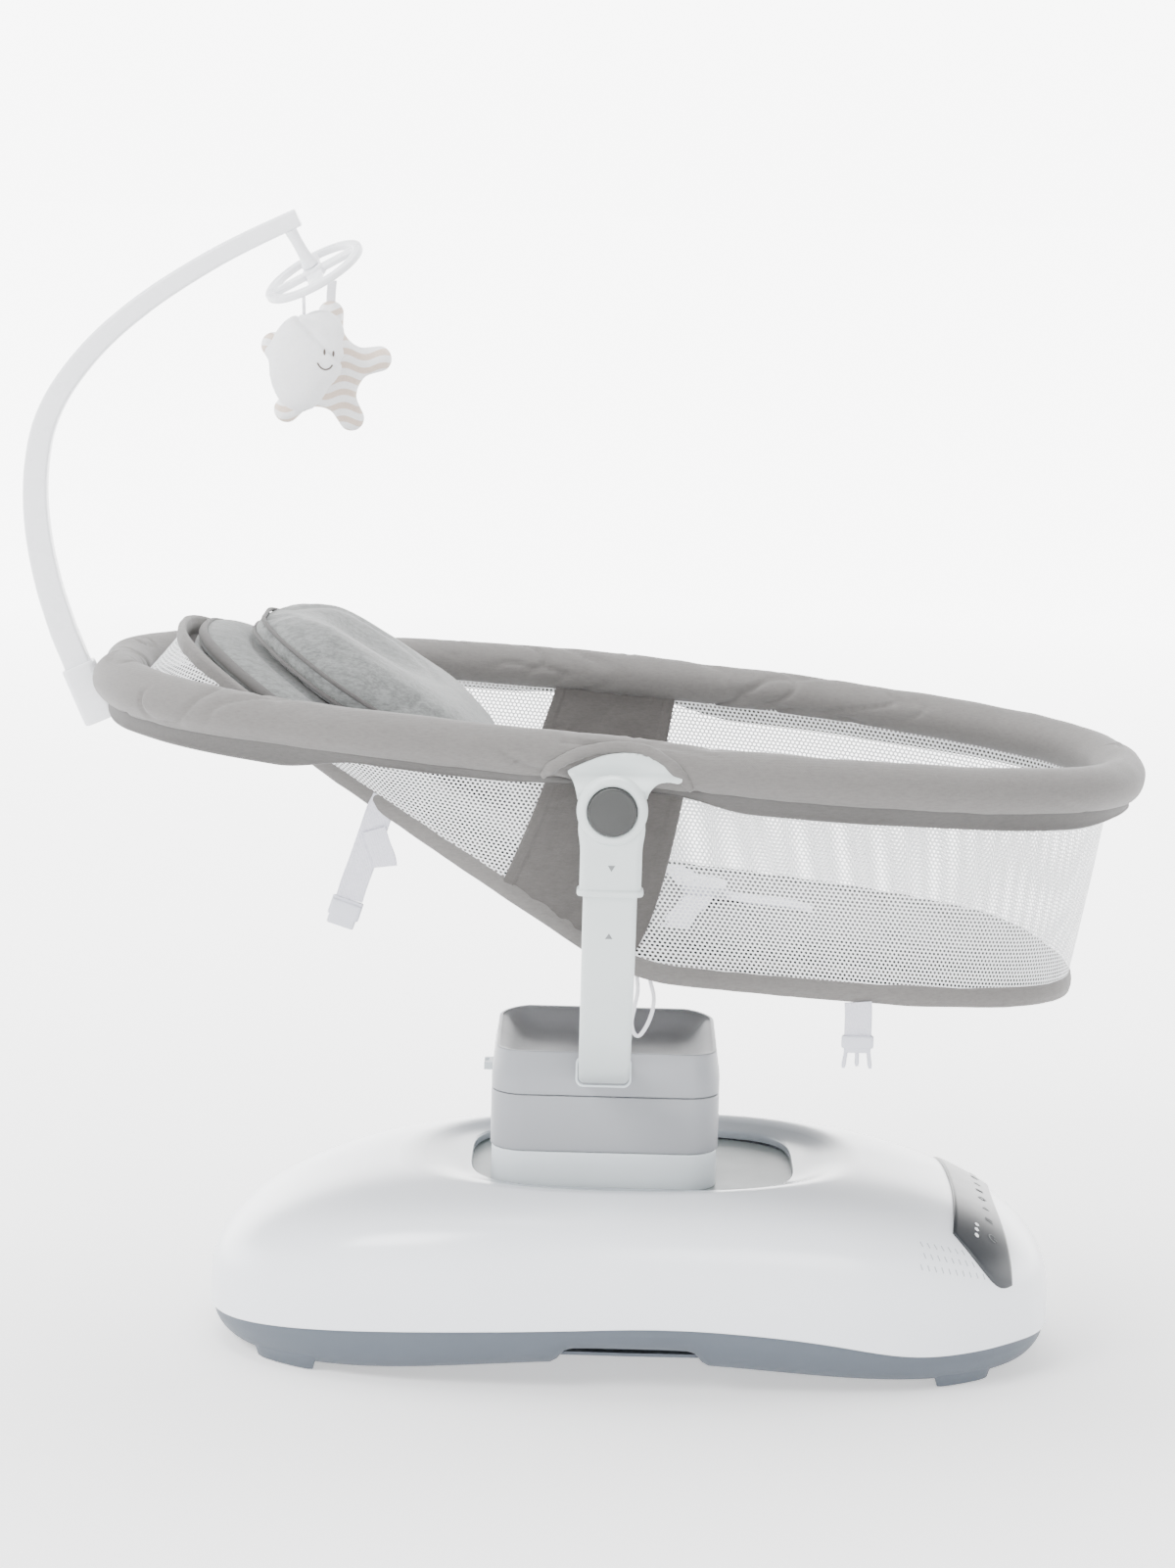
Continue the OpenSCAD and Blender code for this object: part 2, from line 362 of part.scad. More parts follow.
module seat_pad() color([0.68, 0.69, 0.69]) loft([for (x = [-295, -290, -275, -240, -185, -120, -60, -15, 15, 32, 40, 48, 65, 110, 180, 250, 310, 346, 358, 362]) pad_ring(x, x < -292 || x > 360 ? pad_t * 0.7 : pad_t)]);
module head_pillow() color([0.66, 0.67, 0.67]) loft([for (x = [-276, -266, -236, -185, -130, -86, -72]) let (f = x < -270 || x > -80 ? 0.75 : 1, n = unit([0.635, 1]), t = lookup(x, [[-276, 20], [-266, 26], [-236, 37], [-185, 40], [-130, 37], [-86, 26], [-72, 19]]))
  [for (q = [[1, 0.5], [0.93, 0.1], [0.7, 0], [0, 0], [-0.7, 0], [-0.93, 0.1], [-1, 0.5], [-0.93, 0.9], [-0.7, 1], [0, 1], [0.7, 1], [0.93, 0.9]]) let (h = 3 + pad_t + 1 + q[1] * t) [x + n[0] * h, q[0] * 118 * f, floor_z(x) + n[1] * h]]]);
module strap_at(p, q, w, t, a = 0) { d = q - p; l = norm(d); translate(p) rotate([0, -atan2(d[2], norm([d[0], d[1]])), atan2(d[1], d[0])]) rotate([a, 0, 0]) translate([0, -w / 2, -t / 2]) cube([l, w, t]); }
// three webbing runs on the seat pad: two over the lap and one from the crotch
module harness_straps() color([0.9, 0.9, 0.9]) { z0 = floor_z(90) + 5.4 + pad_t;
  strap_at([92, 14, z0 + 2], [70, 112, floor_z(70) + 6 + pad_t], 22, 1.6);
  strap_at([92, -14, z0 + 2], [70, -112, floor_z(70) + 6 + pad_t], 22, 1.6);
  strap_at([104, 0, z0 + 2], [178, 0, floor_z(178) + 4.8 + pad_t], 30, 1.6);
}
module harness_buckle() color([0.85, 0.86, 0.86]) { z0 = floor_z(90) + 5.4 + pad_t + 3.4; at(92, 0, z0) linear_extrude(9) polygon(rrect(34, 44, 8)); }
module rear_strap() color([0.93, 0.93, 0.93]) strap_at([-146, -160, 437], [-166, -160, 378], 20, 1.6, 90);
module rear_buckle() color([0.93, 0.93, 0.93]) at(-171.5, -160, 361.5) rotate([0, 18.7, 0]) difference() { translate([-11, -4, -9]) cube([22, 8, 18]); translate([-7, -2.4, -10]) cube([14, 4.8, 14]); }
module front_strap() color([0.93, 0.93, 0.93]) translate([206, -164, 281]) translate([-10, -0.8, 0]) cube([20, 1.6, 23]);
module front_buckle() color([0.93, 0.93, 0.93]) at(206, -164, 0) { translate([-11, -3.5, 269]) cube([22, 7, 11.8]); for (x = [-9, -1.5, 6]) translate([x, -2, 256]) cube([3, 4, 13.5]); }

// toy bar socket gripping the rim's head end from below
bar_path = [[-368, 474], [-378, 496], [-387, 517], [-398, 543], [-408.5, 575], [-416, 608], [-419.6, 640], [-418.6, 671], [-412.5, 701], [-398, 730], [-372, 762.5], [-338.5, 792], [-303, 816.5], [-268, 837], [-224.5, 858.6]];
function bar_w(f) = mix(20.5, 13.5, f);
sock_d = unit([-10, 22.5]);
module toy_bar_socket() color([0.93, 0.94, 0.96]) translate([-387, 0, 517]) rotate([0, -atan2(-sock_d[0], sock_d[1]), 0]) {
  difference() {
    translate([-13, -11.5, -46]) cube([25.6, 23, 46]);
    translate([-10.7, -bar_y / 2 - 0.3, -30]) cube([21.2, bar_y + 0.6, 40]);
  }
}
module toy_bar() color([0.94, 0.945, 0.96]) { P = smooth([for (i = [3:len(bar_path) - 1]) bar_path[i]], 2); m = len(P); Q = concat([[-387 - sock_d[0] * 28, 517 - sock_d[1] * 28], [-387, 517]], P);
  loft([for (i = [0:len(Q) - 1]) let (t = i < 3 ? sock_d : tang(Q, i), n = [t[1], -t[0]], w = bar_w(max(i - 1, 0) / len(Q)) / 2, d = bar_y / 2, c = 2.2)
    [for (q = [[w, d - c], [w - c, d], [-w + c, d], [-w, d - c], [-w, -d + c], [-w + c, -d], [w - c, -d], [w, -d + c]]) [Q[i][0] + n[0] * q[0], q[1], Q[i][1] + n[1] * q[0]]]], rev = true);
}
// the ring hangs square to the bar's end, on an axis that leans by ring_a
ring_a = 29.5;
ring_b = 16;          // and leans to the near side by ring_b
ring_c = [-212, 8, 818.5];
module on_ring() translate(ring_c) rotate([0, -ring_a, 0]) rotate([ring_b, 0, 0]) children();
module toy_ring_stem() color([0.93, 0.94, 0.96]) on_ring() { at(z = 5.5) cylinder(d1 = 10, d2 = 8, h = 31.8, $fn = 32); at(z = -5) cylinder(d = 4, h = 12, $fn = 32); }
module toy_ring() color([0.94, 0.95, 0.96]) on_ring() { difference() { union() {
    rotate_extrude($fn = 64) translate([ring_d / 2 - 4, 0]) square([7, 4.4], center = true);
    at(z = -4) cylinder(d = 18, h = 9, $fn = 40);
    for (a = [0, 90, 180, 270]) rotate(a) translate([7, -2.6, -1.8]) cube([ring_d / 2 - 13, 5.2, 3.6]);
  } at(z = -6) cylinder(d = 4.1, h = 14, $fn = 32); } }
module moon_toy() color([0.95, 0.95, 0.95]) { translate([-217.5, -12, 754]) scale([27 / 41, 17 / 41, 1]) sphere(r = 41, $fn = 28); translate([-218.5, -10, 793]) cylinder(d = 2.4, h = 12, $fn = 16); }
function star_pt(k, r) = r * [sin(k * 36), cos(k * 36)];
module star_toy() color([0.9, 0.85, 0.78]) { translate([-204, 33, 745]) rotate([90, 6, 0]) linear_extrude(24) polygon([for (k = [0:9]) star_pt(k, k % 2 == 0 ? 52 : 27)]); translate([-198.5, 21, 794]) cylinder(d = 2.4, h = 18, $fn = 16); }

// elastic hanging loop under the seat, both ends sewn to the underside
loop_pts = [[52, -118, 321], [54, -118, 308], [57, -118, 296], [56, -118, 284], [52, -118, 273], [47, -118, 266], [43, -118, 268], [41, -118, 276], [43, -118, 288], [45, -118, 300], [44, -118, 312], [43, -118, 322]];
module loop_cord() color([0.95, 0.95, 0.95]) { P = smooth(loop_pts, 3);
  loft([for (i = [0:len(P) - 1]) let (t = tang(P, i), n = unit(cross(t, [0, 1, 0]))) [for (j = [0:7]) P[i] + 1.5 * (cos(45 * j) * n + sin(45 * j) * [0, 1, 0])]]);
}

translate([shift_x, 0, 0]) {
  base_top_shell();
  base_skirt();
  bottom_plate();
  foot_pads();
  control_panel();
  control_board();
  speaker();
  power_jack();
  guide_rods();
  rod_blocks();
  stop_bumpers();
  drive_motor();
  motor_bracket();
  base_screws();
  drive_pinion();
  slide_plate();
  carriage();
  linear_bushes();
  gear_rack();
  tower_skirt();
  tower_lower_shell();
  tower_upper_shell();
  tower_top_tray();
  arm_left();
  arm_right();
  arm_crossbar();
  tower_screws();
  release_tab();
  sleeve_left();
  sleeve_right();
  button_springs();
  button_left();
  button_right();
  pivot_pins();
  saddle_left();
  saddle_right();
  rim_tube();
  rim_padding();
  mesh_basket();
  side_panels();
  bottom_band();
  seat_board();
  back_board();
  seat_pad();
  head_pillow();
  harness_straps();
  harness_buckle();
  rear_strap();
  rear_buckle();
  front_strap();
  front_buckle();
  toy_bar_socket();
  loop_cord();
  toy_bar();
  toy_ring_stem();
  toy_ring();
  moon_toy();
  star_toy();
}
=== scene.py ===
import math
import bpy
import bmesh
import numpy as np
from mathutils import Vector, Matrix


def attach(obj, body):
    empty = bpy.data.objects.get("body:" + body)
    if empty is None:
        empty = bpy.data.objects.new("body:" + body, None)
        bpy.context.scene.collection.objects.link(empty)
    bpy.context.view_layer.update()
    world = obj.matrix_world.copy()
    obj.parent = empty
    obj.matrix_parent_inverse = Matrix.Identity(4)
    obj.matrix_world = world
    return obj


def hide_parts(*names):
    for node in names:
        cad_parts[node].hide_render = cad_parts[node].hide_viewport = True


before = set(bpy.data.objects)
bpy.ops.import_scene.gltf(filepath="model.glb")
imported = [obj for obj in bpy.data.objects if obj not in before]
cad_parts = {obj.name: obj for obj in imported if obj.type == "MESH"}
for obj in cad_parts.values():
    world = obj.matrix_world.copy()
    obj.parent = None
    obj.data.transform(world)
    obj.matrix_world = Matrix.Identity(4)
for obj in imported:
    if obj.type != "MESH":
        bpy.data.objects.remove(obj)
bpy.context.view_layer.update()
scene = bpy.context.scene
SX = 0.75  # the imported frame's shift along X, mm


# ------------------------------------------------------------------ helpers
def A(*v):
    return np.array(v, float)


def unit(v):
    v = np.asarray(v, float)
    return v / np.maximum(np.linalg.norm(v, axis=-1, keepdims=True), 1e-9)


def ease(v, a, b):
    s = np.clip((np.asarray(v, float) - a) / (b - a), 0, 1)
    return s * s * (3 - 2 * s)


def mix(a, b, s):
    return a + (b - a) * s


def rad(d):
    return np.radians(d)


def sell(c, a, b, n, t):
    t = rad(np.asarray(t, float))
    co, si = np.cos(t), np.sin(t)
    return c + a * np.sign(co) * np.abs(co) ** (2 / n), b * np.sign(si) * np.abs(si) ** (2 / n)


def catmull(P, k):
    P = np.asarray(P, float)
    n = len(P) - 1
    out = []
    for i in range(n):
        a, b, c, d = P[max(i - 1, 0)], P[i], P[i + 1], P[min(i + 2, n)]
        for j in range(k):
            t = j / k
            out.append(0.5 * (2 * b + (c - a) * t + (2 * a - 5 * b + 4 * c - d) * t * t + (3 * b - a - 3 * c + d) * t ** 3))
    out.append(P[-1])
    return np.array(out)


def noise(p, seed=0):
    """smooth value noise from -1 to 1 at points p, seeded as given"""
    p = np.asarray(p, float)
    i = np.floor(p).astype(np.int64)
    f = p - i
    f = f * f * (3 - 2 * f)

    def h(x, y, z):
        n = (x * 374761393 + y * 668265263 + z * 2147483647 + seed * 144665) & 0xFFFFFFFF
        n = ((n ^ (n >> 13)) * 1274126177) & 0xFFFFFFFF
        return ((n ^ (n >> 16)) & 0xFFFF) / 32767.5 - 1

    r = 0
    for dx in (0, 1):
        for dy in (0, 1):
            for dz in (0, 1):
                w = (f[..., 0] if dx else 1 - f[..., 0]) * (f[..., 1] if dy else 1 - f[..., 1]) * (f[..., 2] if dz else 1 - f[..., 2])
                r = r + w * h(i[..., 0] + dx, i[..., 1] + dy, i[..., 2] + dz)
    return r


def fbm(p, seed=0, k=3):
    r, a, p = 0, 1.0, np.asarray(p, float)
    for j in range(k):
        r = r + a * noise(p * 2.03 ** j + 7.3 * j, seed + j)
        a *= 0.5
    return r / 1.7


def make(name, verts, faces, mat, body, slot=None, repl=(), angle=40, fix=True):
    """a mesh piece from points in mm, riding on a body"""
    v = (np.asarray(verts, float).reshape(-1, 3) + [SX, 0, 0]) * 0.001
    me = bpy.data.meshes.new(name)
    me.from_pydata(v.tolist(), [], [tuple(int(i) for i in f) for f in faces])
    if fix:
        bm = bmesh.new()
        bm.from_mesh(me)
        bmesh.ops.recalc_face_normals(bm, faces=bm.faces)
        bm.to_mesh(me)
        bm.free()
    me.polygons.foreach_set("use_smooth", [True] * len(me.polygons))
    if angle is not None:
        me.set_sharp_from_angle(angle=math.radians(angle))
    o = bpy.data.objects.new(name, me)
    scene.collection.objects.link(o)
    if mat is not None:
        me.materials.append(mat)
    if body:
        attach(o, body)
    if repl:
        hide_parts(*repl)
    return o


def quads(m, n, cu=False, cv=False, off=0):
    """faces of an m x n grid; cu joins last row to first, cv last column to first"""
    i = np.arange(m if cu else m - 1)[:, None]
    j = np.arange(n if cv else n - 1)[None, :]
    i2, j2 = (i + 1) % m, (j + 1) % n
    q = np.stack([i * n + j + 0 * j, i * n + j2, i2 * n + j2, i2 * n + j], -1).reshape(-1, 4) + off
    return q.tolist()


def loft(R, cap=True, cu=False, off=0):
    """rings (m, n, 3) into points and faces, closed round each ring"""
    R = np.asarray(R, float)
    m, n, _ = R.shape
    f = quads(m, n, cu, True, off)
    v = R.reshape(-1, 3)
    if cap and not cu:
        f.append(list(range(off, off + n))[::-1])
        f.append(list(range(off + (m - 1) * n, off + m * n)))
    return v, f


def join(*parts):
    """several (points, faces) into one"""
    V, F, k = [], [], 0
    for v, f in parts:
        V.append(np.asarray(v, float).reshape(-1, 3))
        F += [[i + k for i in q] for q in f]
        k += len(V[-1])
    return np.concatenate(V), F


def frames(P, up=(0, 0, 1), closed=False):
    """tangent and two side vectors along a path, without twist"""
    P = np.asarray(P, float)
    if closed:
        T = unit(np.roll(P, -1, 0) - np.roll(P, 1, 0))
    else:
        T = unit(np.gradient(P, axis=0))
    U = np.zeros_like(P)
    u = np.asarray(up, float)
    for i in range(len(P)):
        u = u - T[i] * np.dot(u, T[i])
        if np.linalg.norm(u) < 1e-6:
            u = np.cross(T[i], [0.3, 1, 0.2])
        u = unit(u)
        U[i] = u
    return T, np.cross(T, U), U


def sweep(P, sec, up=(0, 0, 1), closed=False, fixed=False, scale=None):
    """section points (n, 2): first along the side vector, second along up"""
    P = np.asarray(P, float)
    T, B, U = frames(P, up, closed)
    if fixed:
        B = unit(np.cross(T, np.asarray(up, float)))
        U = np.cross(B, T)
    sec = np.asarray(sec, float)
    s = np.ones(len(P)) if scale is None else np.asarray(scale, float)
    R = P[:, None] + s[:, None, None] * (sec[None, :, :1] * B[:, None] + sec[None, :, 1:] * U[:, None])
    return loft(R, cap=not closed, cu=closed)


def circle(r, k=16):
    a = np.arange(k) * 2 * math.pi / k
    return np.stack([r * np.cos(a), r * np.sin(a)], 1)


def rrect(x, y, r, k=6):
    out = []
    for q, (sx, sy) in enumerate(((1, 1), (-1, 1), (-1, -1), (1, -1))):
        for j in range(k + 1):
            a = math.radians(q * 90 + 90 * j / k)
            out.append((sx * (x / 2 - r) + r * math.cos(a), sy * (y / 2 - r) + r * math.sin(a)))
    return np.array(out)


def turn(prof, axis_o, axis_d, k=64, ref=(0, 0, 1)):
    """profile (radius, height) turned about an axis, closed at both ends on the axis"""
    d = unit(A(*axis_d))
    e = unit(np.cross(d, A(*ref)))
    g = np.cross(d, e)
    a = np.arange(k) * 2 * math.pi / k
    R = np.array([A(*axis_o) + d * h + r * (np.cos(a)[:, None] * e + np.sin(a)[:, None] * g) for r, h in prof])
    return loft(R, cap=True)


def rounded(prof, r=0.8, k=4):
    """round the inner corners of a profile"""
    P = np.asarray(prof, float)
    out = [P[0]]
    for i in range(1, len(P) - 1):
        a, b, c = P[i - 1], P[i], P[i + 1]
        la, lc = np.linalg.norm(a - b), np.linalg.norm(c - b)
        q = min(r, la * 0.45, lc * 0.45)
        p0, p1 = b + (a - b) / max(la, 1e-9) * q, b + (c - b) / max(lc, 1e-9) * q
        for j in range(k + 1):
            t = j / k
            out.append((1 - t) ** 2 * p0 + 2 * t * (1 - t) * b + t * t * p1)
    out.append(P[-1])
    return np.array(out)


def prism(outline, z0, z1, r=0.8, to=None, k=3):
    """outline (n, 2) between heights z0 and z1 with rounded edges; to maps (x, y, z) rows to the part"""
    o = np.asarray(outline, float)
    c = o.mean(0)
    nrm = unit(np.roll(o, -1, 0) - np.roll(o, 1, 0))
    nrm = np.stack([nrm[:, 1], -nrm[:, 0]], 1)
    if np.sum((o - c) * nrm) < 0:
        nrm = -nrm
    rings = []
    for j in range(k + 1):
        a = math.pi / 2 * j / k
        rings.append((r * (1 - math.sin(a)), z0 + r * (1 - math.cos(a))))
    for j in range(k + 1):
        a = math.pi / 2 * (1 - j / k)
        rings.append((r * (1 - math.sin(a)), z1 - r * (1 - math.cos(a))))
    R = np.array([np.column_stack([o - nrm * g, np.full(len(o), z)]) for g, z in rings])
    if to is not None:
        R = to(R)
    return loft(R)


# ------------------------------------------------------------------ camera first
e0, rho, DIST = rad(9.3), rad(1.5), 3000.0
TGT = A(4.45, 0, 435)
w = A(0, math.cos(e0), -math.sin(e0))
r0 = A(1, 0, 0)
u0 = np.cross(r0, w)
right = r0 * math.cos(rho) + u0 * math.sin(rho)
upv = -r0 * math.sin(rho) + u0 * math.cos(rho)
cam = bpy.data.cameras.new("camera")
cam.lens = 4000 / 1601 * 36
cam.sensor_width = 36
cam.clip_end = 50
cam_o = bpy.data.objects.new("camera", cam)
scene.collection.objects.link(cam_o)
M = Matrix(((right[0], upv[0], -w[0], 0), (right[1], upv[1], -w[1], 0), (right[2], upv[2], -w[2], 0), (0, 0, 0, 1)))
M.translation = Vector((TGT - DIST * w) * 0.001)
cam_o.matrix_world = M
scene.camera = cam_o


# ------------------------------------------------------------------ materials
class Mat:
    def __init__(self, name, color, rough=0.5, spec=0.5, **kw):
        m = bpy.data.materials.new(name)
        m.use_nodes = True
        self.m, self.t = m, m.node_tree
        self.b = next(n for n in self.t.nodes if n.type == "BSDF_PRINCIPLED")
        self.b.inputs["Base Color"].default_value = (*color, 1)
        self.b.inputs["Roughness"].default_value = rough
        self.b.inputs["Specular IOR Level"].default_value = spec
        for k, v in kw.items():
            self.b.inputs[k.replace("_", " ")].default_value = v
        self.c = color
        self.co = self.n("ShaderNodeTexCoord").outputs["Object"]
        self.height = None

    def n(self, kind, **kw):
        x = self.t.nodes.new(kind)
        for k, v in kw.items():
            if hasattr(x, k):
                setattr(x, k, v)
            else:
                x.inputs[k].default_value = v
        return x

    def link(self, a, b):
        self.t.links.new(a, b)

    def scaled(self, sx, sy, sz, rot=(0, 0, 0)):
        m = self.n("ShaderNodeMapping")
        m.inputs["Scale"].default_value = (sx, sy, sz)
        m.inputs["Rotation"].default_value = rot
        self.link(self.co, m.inputs["Vector"])
        return m.outputs["Vector"]

    def noise(self, scale, detail=3.0, rough=0.55, vec=None, distort=0.0):
        x = self.n("ShaderNodeTexNoise")
        x.inputs["Scale"].default_value = scale
        x.inputs["Detail"].default_value = detail
        x.inputs["Roughness"].default_value = rough
        x.inputs["Distortion"].default_value = distort
        self.link(vec or self.co, x.inputs["Vector"])
        return x.outputs["Fac"]

    def wave(self, scale, vec, kind="X", distort=0.0, profile="SIN"):
        x = self.n("ShaderNodeTexWave")
        x.wave_type = "BANDS"
        x.bands_direction = kind
        x.wave_profile = profile
        x.inputs["Scale"].default_value = scale
        x.inputs["Distortion"].default_value = distort
        self.link(vec, x.inputs["Vector"])
        return x.outputs["Fac"]

    def ramp(self, fac, stops):
        x = self.n("ShaderNodeValToRGB")
        e = x.color_ramp.elements
        while len(e) < len(stops):
            e.new(0.5)
        for el, (p, c) in zip(e, stops):
            el.position = p
            el.color = (*c, 1) if len(c) == 3 else c
        self.link(fac, x.inputs["Fac"])
        return x.outputs["Color"]

    def math(self, op, a, b=None, clamp=False):
        x = self.n("ShaderNodeMath")
        x.operation = op
        x.use_clamp = clamp
        for i, v in enumerate((a, b)):
            if v is None:
                continue
            if isinstance(v, (int, float)):
                x.inputs[i].default_value = v
            else:
                self.link(v, x.inputs[i])
        return x.outputs[0]

    def mixc(self, fac, a, b, blend="MIX"):
        x = self.n("ShaderNodeMix")
        x.data_type = "RGBA"
        x.blend_type = blend
        for i, v in ((0, fac), (6, a), (7, b)):
            if isinstance(v, (int, float)):
                x.inputs[i].default_value = v
            elif isinstance(v, tuple):
                x.inputs[i].default_value = (*v, 1)
            else:
                self.link(v, x.inputs[i])
        return x.outputs[2]

    def color(self, out):
        self.link(out, self.b.inputs["Base Color"])

    def rough(self, fac, lo, hi):
        x = self.n("ShaderNodeMapRange")
        x.inputs["To Min"].default_value = lo
        x.inputs["To Max"].default_value = hi
        self.link(fac, x.inputs["Value"])
        self.link(x.outputs["Result"], self.b.inputs["Roughness"])

    def bump(self, fac, strength, dist):
        x = self.n("ShaderNodeBump")
        x.inputs["Strength"].default_value = strength
        x.inputs["Distance"].default_value = dist
        self.link(fac, x.inputs["Height"])
        if self.height is not None:
            self.link(self.height, x.inputs["Normal"])
        self.height = x.outputs["Normal"]
        self.link(self.height, self.b.inputs["Normal"])


def shade(c, k):
    return tuple(min(max(v * k, 0), 1) for v in c)


def plastic(name, color, rough=0.38, grain=0.12, scale=2600, var=0.05, spec=0.45, coat=0.0, **kw):
    m = Mat(name, color, rough, spec, **kw)
    big = m.noise(9, 3)
    fine = m.noise(scale, 2)
    m.color(m.ramp(big, [(0.25, shade(color, 1 - var)), (0.75, shade(color, 1 + var * 0.5))]))
    m.rough(m.noise(60, 4), max(rough - 0.07, 0.05), rough + 0.07)
    m.bump(fine, grain, 0.0003)
    if coat:
        m.b.inputs["Coat Weight"].default_value = coat
        m.b.inputs["Coat Roughness"].default_value = 0.12
    return m.m


def weave(name, color, pitch=0.9, var=0.10, sheen=0.25, rough=0.88, tilt=0.0):
    """plain woven cloth with a melange yarn; pitch in mm"""
    m = Mat(name, color, rough, 0.25)
    k = 2 * math.pi / (20 * pitch * 0.001)
    vec = m.scaled(1, 1, 1, (0.0, tilt, 0.35))
    a = m.wave(k, vec, "X", 0.6)
    b = m.wave(k, vec, "Z", 0.6)
    c = m.wave(k, vec, "Y", 0.6)
    th = m.math("MULTIPLY", m.math("ADD", a, c), b)
    slub = m.noise(520, 4, 0.7, m.scaled(0.4, 0.4, 1.6))
    big = m.noise(16, 3, 0.6)
    fib = m.ramp(slub, [(0.30, shade(color, 1 - 1.6 * var)), (0.5, color), (0.72, shade(color, 1 + 1.3 * var))])
    m.color(m.mixc(m.math("MULTIPLY", big, 0.35), fib, shade(color, 0.86)))
    m.rough(slub, rough - 0.06, min(rough + 0.06, 1))
    m.bump(th, 0.22, 0.0004)
    m.bump(slub, 0.30, 0.0006)
    m.b.inputs["Sheen Weight"].default_value = sheen
    m.b.inputs["Sheen Roughness"].default_value = 0.5
    return m.m


def heather(name, color, var=0.22, sheen=0.3):
    """knitted jersey with light and dark fibres"""
    m = Mat(name, color, 0.92, 0.2)
    f1 = m.noise(430, 5, 0.75, m.scaled(0.55, 1.0, 1.5, (0, 0.4, 0.6)))
    f2 = m.noise(160, 3, 0.7, m.scaled(0.5, 1.3, 1.0, (0, 0.2, -0.5)))
    tone = m.math("ADD", m.math("MULTIPLY", f1, 0.62), m.math("MULTIPLY", f2, 0.38))
    m.color(m.ramp(tone, [(0.36, shade(color, 1 - var)), (0.47, shade(color, 1 - 0.3 * var)), (0.54, shade(color, 1 + 0.35 * var)), (0.66, shade(color, 1 + var))]))
    knit = m.wave(210, m.scaled(1, 1, 1, (0.0, 0.57, 0.0)), "Y", 1.4)
    m.rough(f1, 0.85, 1.0)
    m.bump(knit, 0.12, 0.0004)
    m.bump(f1, 0.35, 0.0008)
    m.b.inputs["Sheen Weight"].default_value = sheen
    return m.m


# ------------------------------------------------------------------ material set
WAVE = 2 * math.pi / 20
MB = Mat("base_white", (0.86, 0.89, 0.93), 0.22, 0.5)
_b = MB.noise(7, 2)
_sep = MB.n("ShaderNodeSeparateXYZ")
MB.link(MB.co, _sep.inputs[0])
# painted shade: a dark grey oval blended into the white round the tower's slot, where the recess lies in shade
_dx = MB.math("POWER", MB.math("ABSOLUTE", MB.math("DIVIDE", MB.math("SUBTRACT", _sep.outputs[0], 0.0447), 0.182)), 2.4)
_dy = MB.math("POWER", MB.math("ABSOLUTE", MB.math("DIVIDE", _sep.outputs[1], 0.128)), 2.4)
_r = MB.math("ADD", _dx, _dy)
_painted_shade_oval = MB.ramp(_r, [(0.72, (0, 0, 0)), (0.98, (1, 1, 1))])
MB.color(MB.mixc(_painted_shade_oval, (0.32, 0.345, 0.38), MB.ramp(_b, [(0.3, (0.83, 0.86, 0.91)), (0.7, (0.86, 0.89, 0.935))])))
MB.rough(MB.noise(40, 4), 0.18, 0.28)
MB.bump(MB.noise(900, 2), 0.03, 0.0002)
MB.b.inputs["Coat Weight"].default_value = 0.25
MB.b.inputs["Coat Roughness"].default_value = 0.15
m_base = MB.m
m_skirt = plastic("skirt_grey", (0.082, 0.098, 0.120), 0.5, 0.25, 1900, 0.05)
m_black = plastic("black_plastic", (0.03, 0.03, 0.033), 0.5, 0.2)
m_rubber = plastic("foot_rubber", (0.09, 0.107, 0.13), 0.75, 0.3, 1500, 0.08)
m_board = plastic("board_green", (0.02, 0.13, 0.06), 0.45, 0.3, 700, 0.2)
m_nylon = plastic("nylon", (0.68, 0.64, 0.5), 0.45, 0.1)
m_plate = plastic("plate_grey", (0.24, 0.27, 0.27), 0.36, 0.12, 2200, 0.04)
m_tower = plastic("tower_grey", (0.27, 0.28, 0.30), 0.34, 0.08, 2600, 0.03)
m_tower2 = plastic("tower_light", (0.62, 0.67, 0.70), 0.34, 0.08, 2600, 0.03)
m_tray = plastic("tray_grey", (0.22, 0.223, 0.238), 0.42, 0.12, 2400, 0.04)
m_arm = plastic("arm_white", (0.56, 0.61, 0.61), 0.30, 0.06, 2600, 0.03)
m_button = plastic("button_grey", (0.032, 0.0335, 0.033), 0.45, 0.18, 2400, 0.05)
m_saddle = plastic("saddle_grey", (0.56, 0.61, 0.61), 0.32, 0.06, 2600, 0.03)
m_boardg = plastic("board_grey", (0.38, 0.38, 0.38), 0.6, 0.2)
m_buckle = plastic("buckle_white", (0.58, 0.59, 0.66), 0.36, 0.08, 2400, 0.04)
m_bar = plastic("toybar_white", (0.84, 0.85, 0.88), 0.28, 0.05, 2600, 0.02)
m_mark = plastic("mark_grey", (0.17, 0.18, 0.185), 0.5, 0.1)
m_slit = plastic("slit_shadow", (0.40, 0.42, 0.46), 0.6, 0.1)
MS = Mat("steel", (0.56, 0.56, 0.58), 0.3, 0.5, Metallic=1.0)
_s = MS.noise(300, 3, 0.6, MS.scaled(0.05, 1, 1))
MS.color(MS.ramp(_s, [(0.3, (0.48, 0.48, 0.5)), (0.7, (0.63, 0.63, 0.65))]))
MS.rough(_s, 0.22, 0.42)
m_steel = MS.m
MP = Mat("panel_black", (0.022, 0.024, 0.028), 0.32, 0.35)
_p = MP.noise(14, 2)
MP.color(MP.ramp(_p, [(0.3, (0.017, 0.019, 0.023)), (0.8, (0.05, 0.054, 0.06))]))
MP.rough(MP.noise(90, 4), 0.28, 0.36)
MP.b.inputs["Coat Weight"].default_value = 0.08
MP.b.inputs["Coat Roughness"].default_value = 0.3
m_panel = MP.m
ML = Mat("led_white", (0.9, 0.9, 0.92), 0.4)
ML.color(ML.ramp(ML.noise(500, 2), [(0.3, (0.8, 0.82, 0.85)), (0.7, (0.95, 0.95, 0.97))]))
